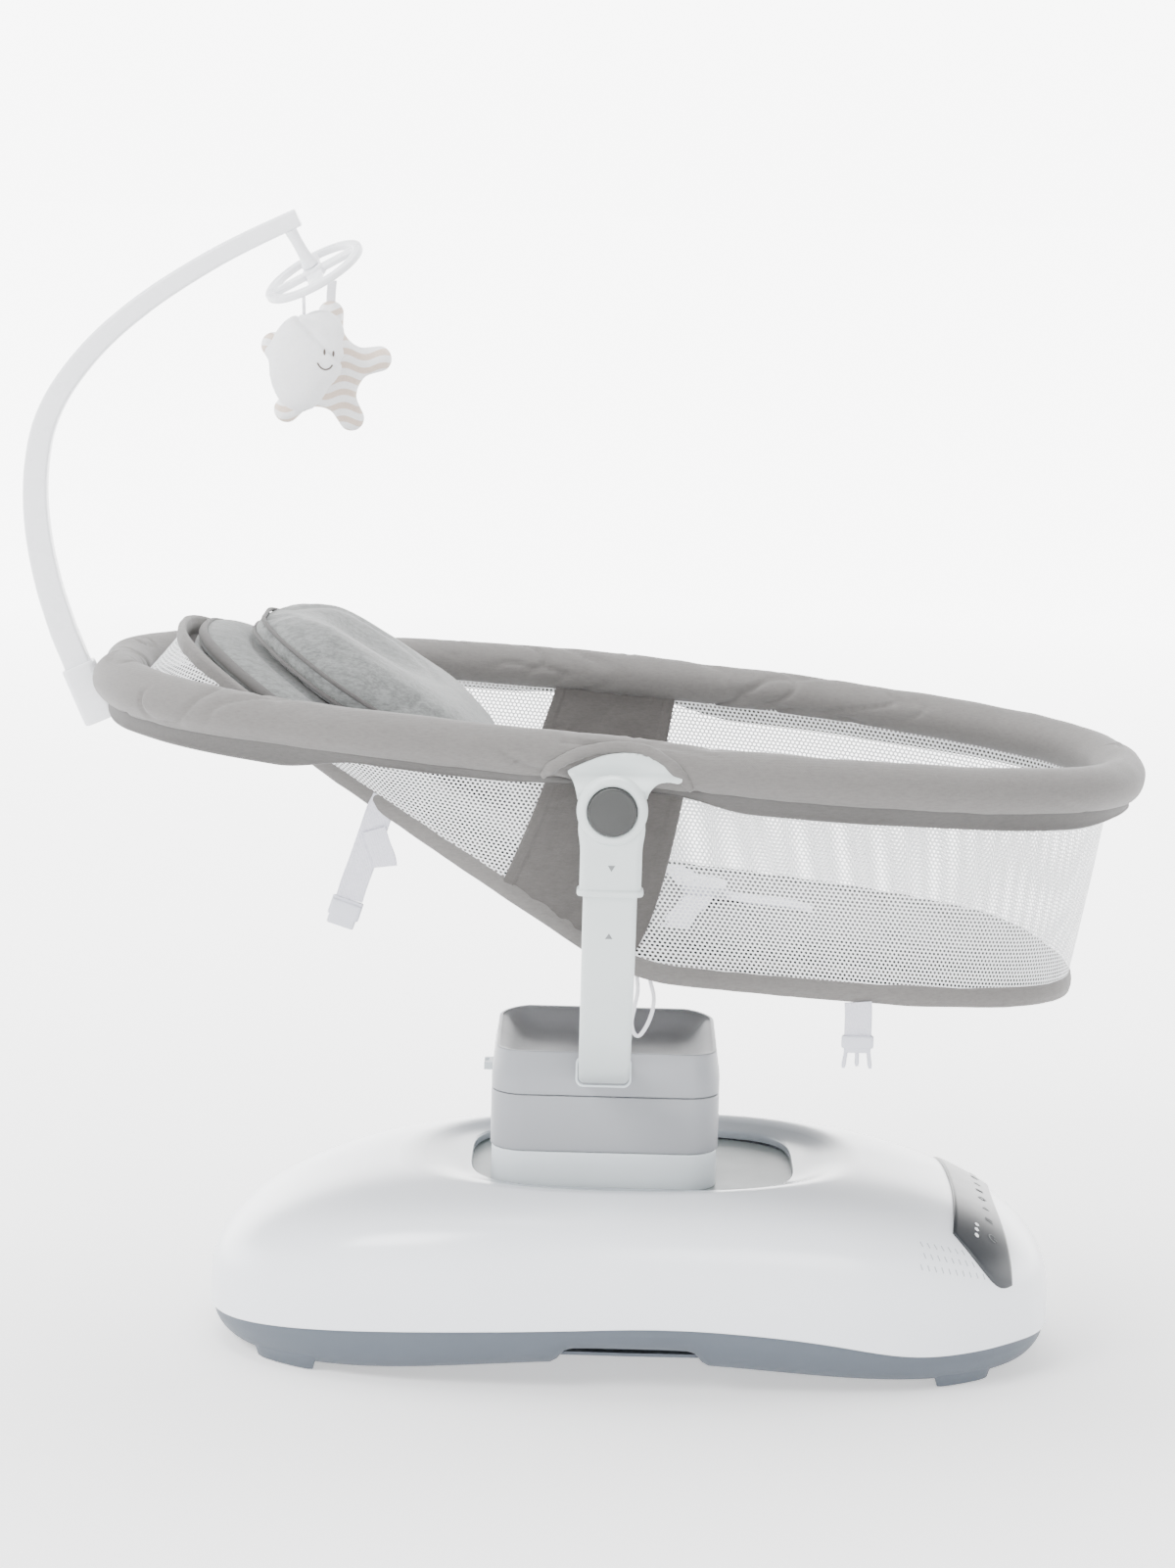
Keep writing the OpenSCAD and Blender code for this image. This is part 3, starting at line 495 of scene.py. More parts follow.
ML.b.inputs["Emission Color"].default_value = (0.9, 0.95, 1, 1)
ML.b.inputs["Emission Strength"].default_value = 0.35
m_led = ML.m
MI = Mat("icon_grey", (0.13, 0.135, 0.14), 0.5)
MI.color(MI.ramp(MI.noise(500, 2), [(0.3, (0.11, 0.115, 0.12)), (0.7, (0.15, 0.155, 0.16))]))
m_icon = MI.m
m_rim = weave("rim_fabric", (0.150, 0.144, 0.139), 0.9, 0.09, 0.2)
# painted shade: a darker copy of the rim cloth for the side panels and the seat's underside, which lie in shade
m_rim_painted_shade = weave("rim_fabric_painted_shade", (0.080, 0.075, 0.072), 0.9, 0.09, 0.2)
m_bind = weave("binding", (0.098, 0.095, 0.093), 0.7, 0.08, 0.15)
m_pad = heather("pad_fabric", (0.168, 0.175, 0.173), 0.34)
def seat_cloth():
    """the seat's jersey, with painted shade that darkens it past the backrest"""
    m = Mat("seat_fabric_painted_shade", (0.168, 0.175, 0.173), 0.92, 0.2)
    f1 = m.noise(430, 5, 0.75, m.scaled(0.55, 1.0, 1.5, (0, 0.4, 0.6)))
    f2 = m.noise(160, 3, 0.7, m.scaled(0.5, 1.3, 1.0, (0, 0.2, -0.5)))
    tone = m.math("ADD", m.math("MULTIPLY", f1, 0.62), m.math("MULTIPLY", f2, 0.38))
    lit_and_painted_shade = [m.ramp(tone, [(0.36, shade(c, 0.66)), (0.47, shade(c, 0.9)), (0.54, shade(c, 1.12)), (0.66, shade(c, 1.34))]) for c in ((0.168, 0.175, 0.173), (0.05, 0.052, 0.052))]
    # painted shade: the jersey blends into a dark grey copy from x = -200 mm to -60 mm, where the seat lies deep behind
    # the mesh
    sp = m.n("ShaderNodeSeparateXYZ")
    m.link(m.co, sp.inputs[0])
    k = m.ramp(m.math("ADD", sp.outputs[0], 0.5), [(0.30, (0, 0, 0)), (0.44, (1, 1, 1))])
    m.color(m.mixc(k, lit_and_painted_shade[0], lit_and_painted_shade[1]))
    m.rough(f1, 0.85, 1.0)
    m.bump(m.wave(210, m.scaled(1, 1, 1, (0.0, 0.57, 0.0)), "Y", 1.4), 0.12, 0.0004)
    m.bump(f1, 0.35, 0.0008)
    m.b.inputs["Sheen Weight"].default_value = 0.2
    return m.m


m_seat = seat_cloth()
# painted shade: a darker copy of the pad jersey
m_pad_painted_shade = heather("pad_painted_shade", (0.125, 0.128, 0.127), 0.25)


def knit_mesh():
    m = Mat("mesh_white", (0.80, 0.81, 0.82), 0.7, 0.3)
    f = m.noise(900, 3, 0.7)
    big = m.noise(22, 2)
    m.color(m.mixc(m.math("MULTIPLY", big, 0.3), m.ramp(f, [(0.3, (0.72, 0.735, 0.75)), (0.7, (0.86, 0.865, 0.875))]), (0.72, 0.74, 0.76)))
    m.bump(m.wave(WAVE / 0.0008, m.scaled(1, 1, 1, (0, 0.3, 0)), "Z", 0.5), 0.2, 0.0003)
    m.bump(f, 0.3, 0.0004)
    m.b.inputs["Sheen Weight"].default_value = 0.2
    return m.m


def web():
    m = Mat("webbing", (0.60, 0.60, 0.68), 0.7, 0.3)
    rib = m.wave(WAVE / 0.0017, m.scaled(1, 1, 1, (0, 0.33, 0.2)), "X", 0.2)
    f = m.noise(800, 3, 0.6)
    m.color(m.ramp(f, [(0.3, (0.55, 0.55, 0.63)), (0.7, (0.66, 0.66, 0.73))]))
    m.bump(rib, 0.4, 0.0005)
    m.bump(f, 0.2, 0.0003)
    return m.m


def plush(name, color, var=0.05):
    m = Mat(name, color, 0.95, 0.15)
    f = m.noise(650, 5, 0.8)
    g = m.noise(120, 3, 0.6)
    m.color(m.ramp(m.math("ADD", m.math("MULTIPLY", f, 0.6), m.math("MULTIPLY", g, 0.4)), [(0.35, shade(color, 1 - var)), (0.65, shade(color, 1 + var))]))
    m.bump(f, 0.5, 0.0012)
    m.b.inputs["Sheen Weight"].default_value = 0.5
    m.b.inputs["Sheen Roughness"].default_value = 0.4
    return m.m


def striped():
    """beige and white wavy stripes, 9 mm apart, in the star's own height"""
    m = Mat("star_fabric", (0.80, 0.74, 0.67), 0.9, 0.15)
    s = m.n("ShaderNodeSeparateXYZ")
    m.link(m.co, s.inputs[0])
    wav = m.math("MULTIPLY", m.math("SINE", m.math("MULTIPLY", s.outputs[0], 2 * math.pi / 0.030)), 0.0022)
    z = m.math("ADD", s.outputs[2], wav)
    st = m.math("SINE", m.math("MULTIPLY", z, 2 * math.pi / 0.0102))
    f = m.noise(650, 4, 0.75)
    white = m.ramp(f, [(0.3, (0.80, 0.80, 0.81)), (0.7, (0.88, 0.88, 0.88))])
    beige = m.ramp(f, [(0.3, (0.60, 0.485, 0.40)), (0.7, (0.70, 0.585, 0.50))])
    k = m.ramp(m.math("ADD", m.math("MULTIPLY", st, 0.5), 0.5), [(0.50, (0, 0, 0)), (0.60, (1, 1, 1))])
    m.color(m.mixc(k, white, beige))
    m.bump(f, 0.5, 0.001)
    m.b.inputs["Sheen Weight"].default_value = 0.4
    return m.m


m_mesh, m_web = knit_mesh(), web()
m_plush = plush("plush_white", (0.84, 0.845, 0.86))
m_star = striped()
m_nub = plush("plush_beige", (0.66, 0.58, 0.5))
m_thread = plush("thread_dark", (0.12, 0.10, 0.09))
m_stitch = plush("thread_grey", (0.46, 0.45, 0.44))
m_cord = plush("cord_white", (0.80, 0.80, 0.83))

# ------------------------------------------------------------------ loop cord, with the camera before the rest
loop_pts = [[52, -118, 321], [54, -118, 308], [57, -118, 296], [56, -118, 284], [52, -118, 273], [47, -118, 266],
            [43, -118, 268], [41, -118, 276], [43, -118, 288], [45, -118, 300], [44, -118, 312], [43, -118, 322]]
LP = catmull(loop_pts, 6)
V, F = sweep(LP, circle(1.5, 14), up=(0, 1, 0))
cord_o = make("loop_cord_soft", V, F, m_cord, "bassinet", "cord_white", ("loop_cord",))

# ------------------------------------------------------------------ base
BX, BA, BB = 46.0, 325.0, 168.0


def edge_z(x):
    u = (x - BX) / BA
    return 53 - 24 * np.minimum(np.abs(u), 1) ** 1.7 + 3 * np.exp(-((x - 90) / 75) ** 2) - 9 * np.exp(-((x - 262) / 62) ** 2) * ease(372 - x, 0, 60)


def crest(x, h):
    u = np.clip((x - BX) / BA, -1, 1)
    return h + 5 * u - 46 * np.abs(u) ** 3.2


def dome(x, y, a=325.0, b=168.0, h=153.0, f=142.5):
    r = np.minimum(((np.abs(x - BX) / a) ** 2.6 + (np.abs(y) / b) ** 2.6) ** (1 / 2.6), 1)
    e = edge_z(x)
    z = e + (crest(x, h) - e) * (1 - r ** 4.6) ** (1 / 4.6)
    o = ((np.abs(x - 44) / 172) ** 2.4 + (np.abs(y) / 124) ** 2.4) ** (1 / 2.4)
    return mix(f, z, ease(o, 0.8, 1.04))


def dome_n(x, y):
    h = 0.5
    gx = (dome(x + h, y) - dome(x - h, y)) / (2 * h)
    gy = (dome(x, y + h) - dome(x, y - h)) / (2 * h)
    return unit(np.stack([-gx, -gy, np.ones_like(gx)], -1))


def on_dome(x, y, h):
    x, y = np.asarray(x, float), np.asarray(y, float)
    n = dome_n(x, y)
    return np.stack([x, y, dome(x, y)], -1) + n * np.asarray(h)[..., None]


NT = 240
T = np.arange(NT) * 360 / NT


def top_ring(s, a, b, h, grow, f):
    ox, oy = sell(BX, a, b, 2.6, T)
    qx, qy = sell(46, 124 + grow, 93 + grow, 3.8, T)
    x, y = mix(qx, ox, s), mix(qy, oy, s)
    z = edge_z(x) if s > 0.9999 else dome(x, y, a, b, h, f)
    return np.stack([x, y, z], 1)


def slot_ring(g, z):
    x, y = sell(46, 124 + g, 93 + g, 3.8, T)
    return np.stack([x, y, np.full(NT, z)], 1)


S = 1 - (1 - np.linspace(0, 1, 66)) ** 2.3
outer = [top_ring(s, BA, BB, 153, 1.6, 142.5) for s in S]
lip_out = []
for g, dz in ((0.35, -0.7), (0.9, -1.1), (2.6, -1.2)):
    x, y = sell(BX, BA - g, BB - g, 2.6, T)
    lip_out.append(np.stack([x, y, edge_z(x) + dz], 1))
inner = [top_ring(s, BA - 3, BB - 3, 150, 5, 139.5) for s in S[::-3][1:]]
slot = [slot_ring(3.4, 138.5), slot_ring(2.6, 136.3), slot_ring(0.3, 136.2), slot_ring(0, 136.6), slot_ring(0, 141.2), slot_ring(0.15, 141.9), slot_ring(0.7, 142.4)]
V, F = loft(np.array(outer + lip_out + inner + slot), cu=True)
base_o = make("base_dome", V, F, m_base, "base", "base_white", ("base_top_shell",), angle=50)


def under_z(x):
    d = np.abs(x - 46)
    return 24 - 17.5 * ease(d / 325, 0.05, 0.8) + 10 * (1 - ease(d, 46, 58))


SK = catmull([[2, 0], [2.6, 0.14], [3.9, 0.36], [7.5, 0.65], [12.5, 0.88], [18, 1]], 4)
SK = np.vstack([[5.2, 0.0], [3.2, -0.004], SK, [20, 1.0], [22, 0.99], [15, 0.8], [10.5, 0.6], [7.6, 0.3]])
R = []
T3 = np.arange(480) * 360 / 480
for ins, f in SK:
    x, y = sell(BX, BA - ins, BB - ins, 2.6, T3)
    R.append(np.stack([x, y, mix(edge_z(x) - 1.6, under_z(x), f)], 1))
V, F = loft(np.array(R), cu=True)
make("base_lower_skirt", V, F, m_skirt, "base", "skirt_grey", ("base_skirt",), angle=38)

# four feet that grow out of the skirt's wall
def yo(x, ins):
    return (BB - ins) * (1 - np.minimum(np.abs(x - BX) / (BA - ins), 0.999) ** 2.6) ** (1 / 2.6)


parts = []
for cx, hw in ((-214, 22), (299, 20)):
    for s in (-1, 1):
        R = []
        for z, ins, w, back in ((0.0, 17.5, -1.2, 27), (0.5, 16.2, -0.3, 29), (1.6, 15.4, 0.3, 30), (6.0, 13.2, 1.2, 30), (10.5, 10.8, 2.6, 30), (15.0, 9.2, 5.0, 30), (18.5, 9.6, 7.5, 30)):
            xs = np.linspace(cx - hw - w, cx + hw + w, 15)
            xs = np.minimum(xs, BX + BA - ins - 3)
            k_ = np.abs(np.linspace(-1, 1, 15)) ** 8 * 2.2
            out = np.column_stack([xs, yo(xs, ins) - k_])
            inn = np.column_stack([xs[::-1], yo(xs[::-1], ins) - back])
            o = np.vstack([out, inn])
            o[:, 1] *= s
            R.append(np.column_stack([o, np.full(len(o), z)]))
        parts.append(loft(np.array(R)))
V, F = join(*parts)
make("feet", V, F, m_skirt, "base", "foot_rubber", ("foot_pads",), angle=40)


def panel_xy(u, v):
    return mix(293 - 6 * v * v, 327 + 7 * v * v, u), v * (108 + 34 * u - 43 * u * u)


nu, nv = 44, 110
uu, vv = np.meshgrid(1 - (1 + np.cos(np.linspace(0, math.pi, nu))) / 2, np.sin(np.linspace(-math.pi / 2, math.pi / 2, nv)), indexing="ij")
px, py = panel_xy(uu, vv)
ed = np.minimum(np.minimum(uu, 1 - uu) * 40, (1 - np.abs(vv)) * 115)
top = on_dome(px, py, 0.6 + 1.55 * np.sqrt(np.clip(1 - (1 - np.clip(ed / 2.2, 0, 1)) ** 2, 0, 1)))
bot = on_dome(px, py, np.full_like(px, -0.8))
ft = quads(nu, nv)
fb = [[i + nu * nv for i in q][::-1] for q in ft]
rimi = [i for i in range(nv)] + [k * nv + nv - 1 for k in range(1, nu)] + [(nu - 1) * nv + k for k in range(nv - 2, -1, -1)] + [k * nv for k in range(nu - 2, 0, -1)]
side = [[rimi[k], rimi[(k + 1) % len(rimi)], rimi[(k + 1) % len(rimi)] + nu * nv, rimi[k] + nu * nv] for k in range(len(rimi))]
make("panel_glass", np.concatenate([top.reshape(-1, 3), bot.reshape(-1, 3)]), ft + fb + side, m_panel, "base", "panel_black", ("control_panel",), angle=50)


def decal(cx, cy, outline, h0=2.2, h1=2.42):
    """thin flat mark laid on the panel"""
    o = np.asarray(outline, float)
    x, y = cx + o[:, 0], cy + o[:, 1]
    a, b = on_dome(x, y, np.full(len(x), h0)), on_dome(x, y, np.full(len(x), h1))
    return loft(np.array([a, b]))


def ring_decal(cx, cy, r, w, h0=2.2, h1=2.42, a0=0, a1=360, k=20):
    t = rad(np.linspace(a0, a1, k))
    o = np.vstack([np.column_stack([r * np.cos(t), r * np.sin(t)]), np.column_stack([(r - w) * np.cos(t[::-1]), (r - w) * np.sin(t[::-1])])])
    return decal(cx, cy, o, h0, h1)


dots = [decal(306.3 + k[0], k[1], circle(1.5, 14), 2.0, 2.5) for k in ((0, -84.5), (-0.6, -91.0), (-1.2, -97.5))]
V, F = join(*dots)
make("panel_lights", V, F, m_led, "base", "panel_black")
icons = []
for i, v in enumerate(np.linspace(-0.80, 0.80, 9)):
    cx, cy = panel_xy(0.68, v)
    k = i % 3
    if k == 0:
        icons.append(ring_decal(cx, cy, 3.2, 0.8, a0=50, a1=310))
        icons.append(decal(cx + 2.2, cy, [(-1.2, -0.4), (1.2, -0.4), (1.2, 0.4), (-1.2, 0.4)]))
    elif k == 1:
        icons += [decal(cx, cy + q, [(-2.6, -0.45), (2.6, -0.45), (2.6, 0.45), (-2.6, 0.45)]) for q in (-1.9, 0, 1.9)]
    else:
        icons.append(decal(cx, cy, [(-2.6, -2.4), (2.6, -2.4), (0, 2.8)]))
V, F = join(*icons)
make("panel_icons", V, F, m_icon, "base", "panel_black", angle=30)
slits = []
for s in (-1, 1):
    for k in range(12):
        f = k / 11
        for row in (0.905, 0.94, 0.966):
            x0 = mix(262.0, 322.0, f) + (2.4 if row == 0.94 else 0)
            y0 = s * row * BB * (1 - (abs(x0 - BX) / BA) ** 2.6) ** (1 / 2.6)
            c_, n_ = on_dome(x0, y0, 0.10), dome_n(np.array(x0), np.array(y0))
            dn = unit(A(0, 0, -1) - n_ * (-n_[2]))
            ac = np.cross(n_, dn)
            dn = unit(dn + 0.25 * ac)
            ac = np.cross(n_, dn)
            q = [(-0.4, -2.3), (0.4, -2.3), (0.4, 2.3), (-0.4, 2.3)]
            slits.append(loft(np.array([[c_ + u * ac + v * dn - n_ * 0.5 for u, v in q], [c_ + u * ac + v * dn for u, v in q]])))
V, F = join(*slits)
make("speaker_slits", V, F, m_slit, "base", "base_white", angle=30)

# ------------------------------------------------------------------ tower
TX = 23.5


def tube_shell(z0, z1, g, t, r=0.9, top=None, lean=0.0):
    n = rrect(174 - 2 * g, 144 - 2 * g, 26 - g, 12)
    R = []

    def ring(d, z, f):
        o = rrect(174 - 2 * (g + d), 144 - 2 * (g + d), max(26 - g - d, 3), 12)
        zz = np.full(len(o), z, float)
        if top is not None:
            zt = top(o[:, 0], o[:, 1])
            zz = z0 + (zt - z0) * (z - z0) / (z1 - z0)
        return np.column_stack([o[:, 0] + TX, o[:, 1], zz])
    a = [0, 22, 45, 67, 90]
    for q in a:
        R.append(ring(r * (1 - math.sin(rad(q))), z0 + r * (1 - math.cos(rad(q))), 0))
    for k in range(1, 12):
        z = mix(z0 + r, z1 - r, k / 12)
        R.append(ring(lean * ease(z, mix(z0, z1, 0.35), z1), z, 0))
    for q in a[::-1]:
        R.append(ring(lean + r * (1 - math.sin(rad(q))), z1 - r * (1 - math.cos(rad(q))), 0))
    R += [ring(lean + t, z1 - 0.3, 0), ring(t + 0.2, z0 + 0.3, 0)]
    return loft(np.array(R), cu=True)


V, F = tube_shell(135.05, 163.2, 1.0, 2.6, 0.8)
make("tower_foot_strip", V, F, m_tower2, "tower", "tower_light", ("tower_skirt",), angle=45)
V, F = tube_shell(163.6, 206.8, 0, 3, 0.9)
make("tower_lower", V, F, m_tower, "tower", "tower_grey", ("tower_lower_shell",), angle=45)


def crown(x, y):
    """height of the upper shell's lip: level at the near and far side, arched on the far side"""
    f = ease(y, -60, 66)
    return 241.0 + 6.6 * f - 4.5 * f * np.abs(x / 87) ** 3.0 - 0.8 * np.abs(x / 87) ** 4


V, F = tube_shell(207.2, 247.0, 0.1, 3, 1.2, top=crown, lean=2.6)
make("tower_upper", V, F, m_tower, "tower", "tower_grey", ("tower_upper_shell",), angle=45)
R = []
for k, f in enumerate([1.0, 0.985, 0.96, 0.92, 0.86, 0.78, 0.68, 0.56, 0.42, 0.28, 0.14, 0.03]):
    o = rrect(174 - 2 * 5.0, 144 - 2 * 5.0, 21, 14) * f
    lip = crown(o[:, 0] / max(f, 0.3), o[:, 1] / max(f, 0.3))
    fl = 228.5 + 3.2 * (o[:, 1] / 72) ** 2
    z = mix(fl, lip - 0.9, ease(f, 0.70, 1.0) ** 1.25)
    R.append(np.column_stack([o[:, 0] + TX, o[:, 1], z]))
Rb = [r - [0, 0, 2.2] for r in R[::-1]]
V, F = loft(np.array(R + Rb))
F = [f for f in F if len(f) == 4]
n = R[0].shape[0]
m = len(R)
F = quads(m, n, False, True) + quads(m, n, False, True, m * n) + [[(m - 1) * n + j for j in range(n)], [m * n + j for j in range(n)]]
F += [[j, (j + 1) % n, (2 * m - 1) * n + (j + 1) % n, (2 * m - 1) * n + j] for j in range(n)]
make("tower_tray", V, F, m_tray, "tower", "tray_grey", ("tower_top_tray",), angle=60)

# ------------------------------------------------------------------ arms, sleeves, hubs, buttons
arm_path = [[40, 222], [62, 224], [100, 234], [150, 254], [200, 291], [236, 334], [252, 367], [257.4, 389], [258, 410], [258, 437]]
AP = catmull(arm_path, 10)
HX, HZ = 21.5, 460.0
for s, side in ((1, "left"), (-1, "right")):
    P = np.column_stack([np.full(len(AP), HX), s * AP[:, 0], AP[:, 1]])
    V, F = sweep(P, rrect(16, 38, 4.2, 6), up=(1, 0, 0), fixed=True)
    parts = [(V, F)]
    make(f"arm_bent_{side}", V, F, m_arm, "tower", "arm_white", (f"arm_{side}",), angle=40)
    # light collar around the arm where it leaves the tower
    o, i = rrect(42.5, 24, 6, 6), rrect(38.6, 20, 4.6, 6)
    R = []
    for q, d in ((o, 0.0), (o * 0.99, 1.1), (o * 0.965, 1.5), (i * 1.02, 1.5), (i, 1.0), (i, -0.4)):
        R.append(np.column_stack([q[:, 0] + HX, np.full(len(q), s * (71.9 + d)), q[:, 1] + 226.6]))
    V, F = loft(np.array(R), cu=True)
    make(f"arm_collar_{side}", V, F, m_tower2, "tower", "tower_light", angle=40)
    # sleeve with a collar bead, running up into the hub
    yc = s * 258.2

    def ringz(wx, wy, r, z):
        q = rrect(wx, wy, r, 7)
        return np.column_stack([q[:, 0] + HX, q[:, 1] + yc, np.full(len(q), z)])
    R = [ringz(43.0, 20.0, 5, 403.0)]
    for z in np.linspace(404.5, 446, 14):
        g = 3.6 * ease(z, 428, 447) ** 1.5
        R.append(ringz(43.5 + g, 20.4, 5, z))
    R += [ringz(46.6, 20.4, 5, 452), ringz(42, 20.0, 5, 458), ringz(36, 19.5, 5, 463)]
    sl = loft(np.array(R))
    R = []
    for d, z in ((1.6, 399.0), (0.6, 399.3), (0.1, 400.2), (0, 401.4), (0.1, 402.6), (0.7, 403.6), (1.9, 404.3), (2.2, 404.6)):
        R.append(ringz(47 - 2 * d, 23.4 - 2 * d, 6, z))
    cl = loft(np.array(R))
    # hub: a round boss and a domed ring around the button's well
    boss = turn(rounded([(0, 248.0), (21.75, 248.0), (21.75, 262.5), (0, 262.5)], 0.8), (HX, 0, HZ), (0, s, 0), 72)
    prof = np.array([(17.5, 262.0), (24.2, 262.0), (24.9, 262.8), (25.0, 264.6), (24.8, 267.0), (24.0, 269.4), (22.6, 271.1), (20.8, 271.9), (19.0, 272.0), (18.0, 271.6), (17.5, 270.6)])
    a = np.arange(72) * 2 * math.pi / 72
    R = np.array([np.column_stack([HX + r * np.cos(a), np.full(72, s * h), HZ + r * np.sin(a)]) for r, h in prof])
    ringp = loft(R, cu=True)
    V, F = join(sl, cl, boss, ringp)
    make(f"hub_sleeve_{side}", V, F, m_arm, "sleeves", "arm_white", (f"sleeve_{side}",), angle=42)
    # small alignment triangles
    tri = np.array([(-2.6, 2.0), (2.6, 2.0), (0, -2.4)])
    t1 = prism(tri, 0, 0.35, 0.08, to=lambda R: np.stack([R[..., 0] + HX + 0.5, s * (268.3 + R[..., 2]), R[..., 1] + 419.5], -1))
    make(f"sleeve_mark_{side}", *t1, m_mark, "sleeves", "arm_white", angle=30)
    k = int(np.argmin(np.abs(AP[:, 1] - 372)))
    tg = unit(AP[k + 1] - AP[k - 1])
    nn = A(tg[1], -tg[0])
    t2 = prism(tri * [1, -1], 0, 0.35, 0.08, to=lambda R: np.stack([R[..., 0] + HX, s * (AP[k, 0] + nn[0] * (7.9 + R[..., 2]) + tg[0] * R[..., 1]), AP[k, 1] + nn[1] * (7.9 + R[..., 2]) + tg[1] * R[..., 1]], -1))
    make(f"arm_mark_{side}", *t2, m_mark, "tower", "arm_white", angle=30)
    # button with a rounded edge and a faintly dished face
    prof = [(0, 270.2), (12.5, 270.2), (12.9, 269.2), (16.6, 269.1), (17.0, 269.6), (17.0, 273.6), (16.7, 274.4), (16.0, 274.9), (15.0, 275.0), (13.6, 274.85), (11, 274.5), (7, 274.2), (0, 274.1)]
    V, F = turn(prof, (HX, 0, HZ), (0, s, 0), 72)
    make(f"hub_button_{side}", V, F, m_button, f"button_{side}", "button_grey", (f"button_{side}",), angle=50)


# ------------------------------------------------------------------ bassinet surfaces
TI = rad(4.3)


def rim_c(t, g=0.0):
    o0, o1 = sell(0, 382 + g, 228 + g, 2.3, t)
    return np.stack([29 + o0 * math.cos(TI), o1, 485 - o0 * math.sin(TI) + 3 * (1 - (np.abs(o0) / 382) ** 2)], -1)


def floor_z(x):
    d = np.asarray(x, float) - 40
    k = 34.0
    return 328 + np.where(d < 0, -0.635 * d, -0.085 * d) + np.where(np.abs(d) < k, 0.275 * (k - np.abs(d)) ** 2 / (2 * k), 0)


def band_c(t, g=0.0):
    x, y = sell(34, 340 + g, 172 + g, 2.7, t)
    return np.stack([x, y, floor_z(x)], -1)


def wall0(t, v):
    a = rim_c(t, -8.0) - [0, 0, 11]
    b = band_c(t)
    return a + (b - a) * np.asarray(v)[..., None]


def wall(t, v, h=0.0, wrinkle=0.9):
    """point on the side wall; v 0 at the rim, 1 at the bottom band; h outwards"""
    t, v = np.broadcast_arrays(np.asarray(t, float), np.asarray(v, float))
    p = wall0(t, v)
    dt = wall0(t + 0.6, v) - wall0(t - 0.6, v)
    dv = wall0(t, v + 0.02) - wall0(t, v - 0.02)
    n = unit(np.cross(dv, dt))
    q = fbm(p / 46.0, 5, 2) * wrinkle + 0.8 * np.sin(math.pi * np.clip(v, 0, 1)) * wrinkle
    return p + n * (np.asarray(h) + q)[..., None]


# ------------------------------------------------------------------ padded rim with folds, seams and a hem
nt, nf = 900, 44
t = np.arange(nt) * 360 / nt
C = rim_c(t)
Tn = unit(np.roll(C, -1, 0) - np.roll(C, 1, 0))
U = A(math.sin(TI), 0, math.cos(TI)) * np.ones_like(C)
N = unit(np.cross(Tn, U))
arc = np.concatenate([[0], np.cumsum(np.linalg.norm(np.diff(C, axis=0), axis=1))])
per = arc[-1] + np.linalg.norm(C[0] - C[-1])
head = 5.0 * (1 - np.exp(-(C[:, 1] / 34) ** 4)) * ease(-C[:, 0], 190, 330)
Cv = C + N * head[:, None] * 0.8
ph = np.arange(nf) * 2 * math.pi / nf
PH, AR = np.meshgrid(ph, arc)
cyc = np.stack([np.cos(AR / per * 2 * math.pi) * per / (2 * math.pi), np.sin(AR / per * 2 * math.pi) * per / (2 * math.pi), PH * 0], -1)
rod = np.stack([np.cos(PH), np.sin(PH)], -1)


def field(sc, ac, seed, skew=0.0):
    a = AR + skew * np.sin(PH)
    th = a / per * 2 * math.pi
    q = np.stack([np.cos(th) * per / (2 * math.pi) / sc + rod[..., 0] * ac, np.sin(th) * per / (2 * math.pi) / sc + rod[..., 1] * ac, rod[..., 0] * ac * 0.7 + 3.1], -1)
    return noise(q, seed)


xr = C[:, :1] * np.ones_like(PH)
yr = C[:, 1:2] * np.ones_like(PH)
near_hub = np.exp(-((xr - 22) / 150) ** 2) * (np.abs(yr) > 150)
fold = field(30, 1.1, 11, 24)
fold2 = field(17, 1.4, 23, -16)
rd = 17.4 + 1.1 * field(120, 0.5, 3) + 0.75 * field(46, 0.9, 5, 10) + 0.35 * fold2
crease = np.clip(1 - np.abs(fold) * 5.5, 0, 1) ** 1.5 * np.clip(field(80, 0.6, 31) * 2.2 - 0.25, 0, 1)
rd = rd - (2.3 + 1.6 * near_hub) * crease
for sx in (33.0,):
    rd = rd - 1.5 * np.exp(-((xr - sx) / 1.1) ** 2) * (np.abs(yr) > 150) + 0.5 * np.exp(-((np.abs(xr - sx) - 4) / 2.4) ** 2) * (np.abs(yr) > 150)
rd = rd + head[:, None] * 0.35
rd = rd - 1.2 * np.exp(-((PH - 4.36) / 0.06) ** 2)
R = Cv[:, None] + rd[..., None] * (rod[..., :1] * N[:, None] + rod[..., 1:] * U[:, None])
V, F = loft(R, cu=True)
rim_o = make("rim_cover", V, F, m_rim, "bassinet", "rim_fabric", ("rim_padding",), angle=None)


def xbump(x, a, b, e=30):
    return ease(x, a - e, a + e) * (1 - ease(x, b - e, b + e))


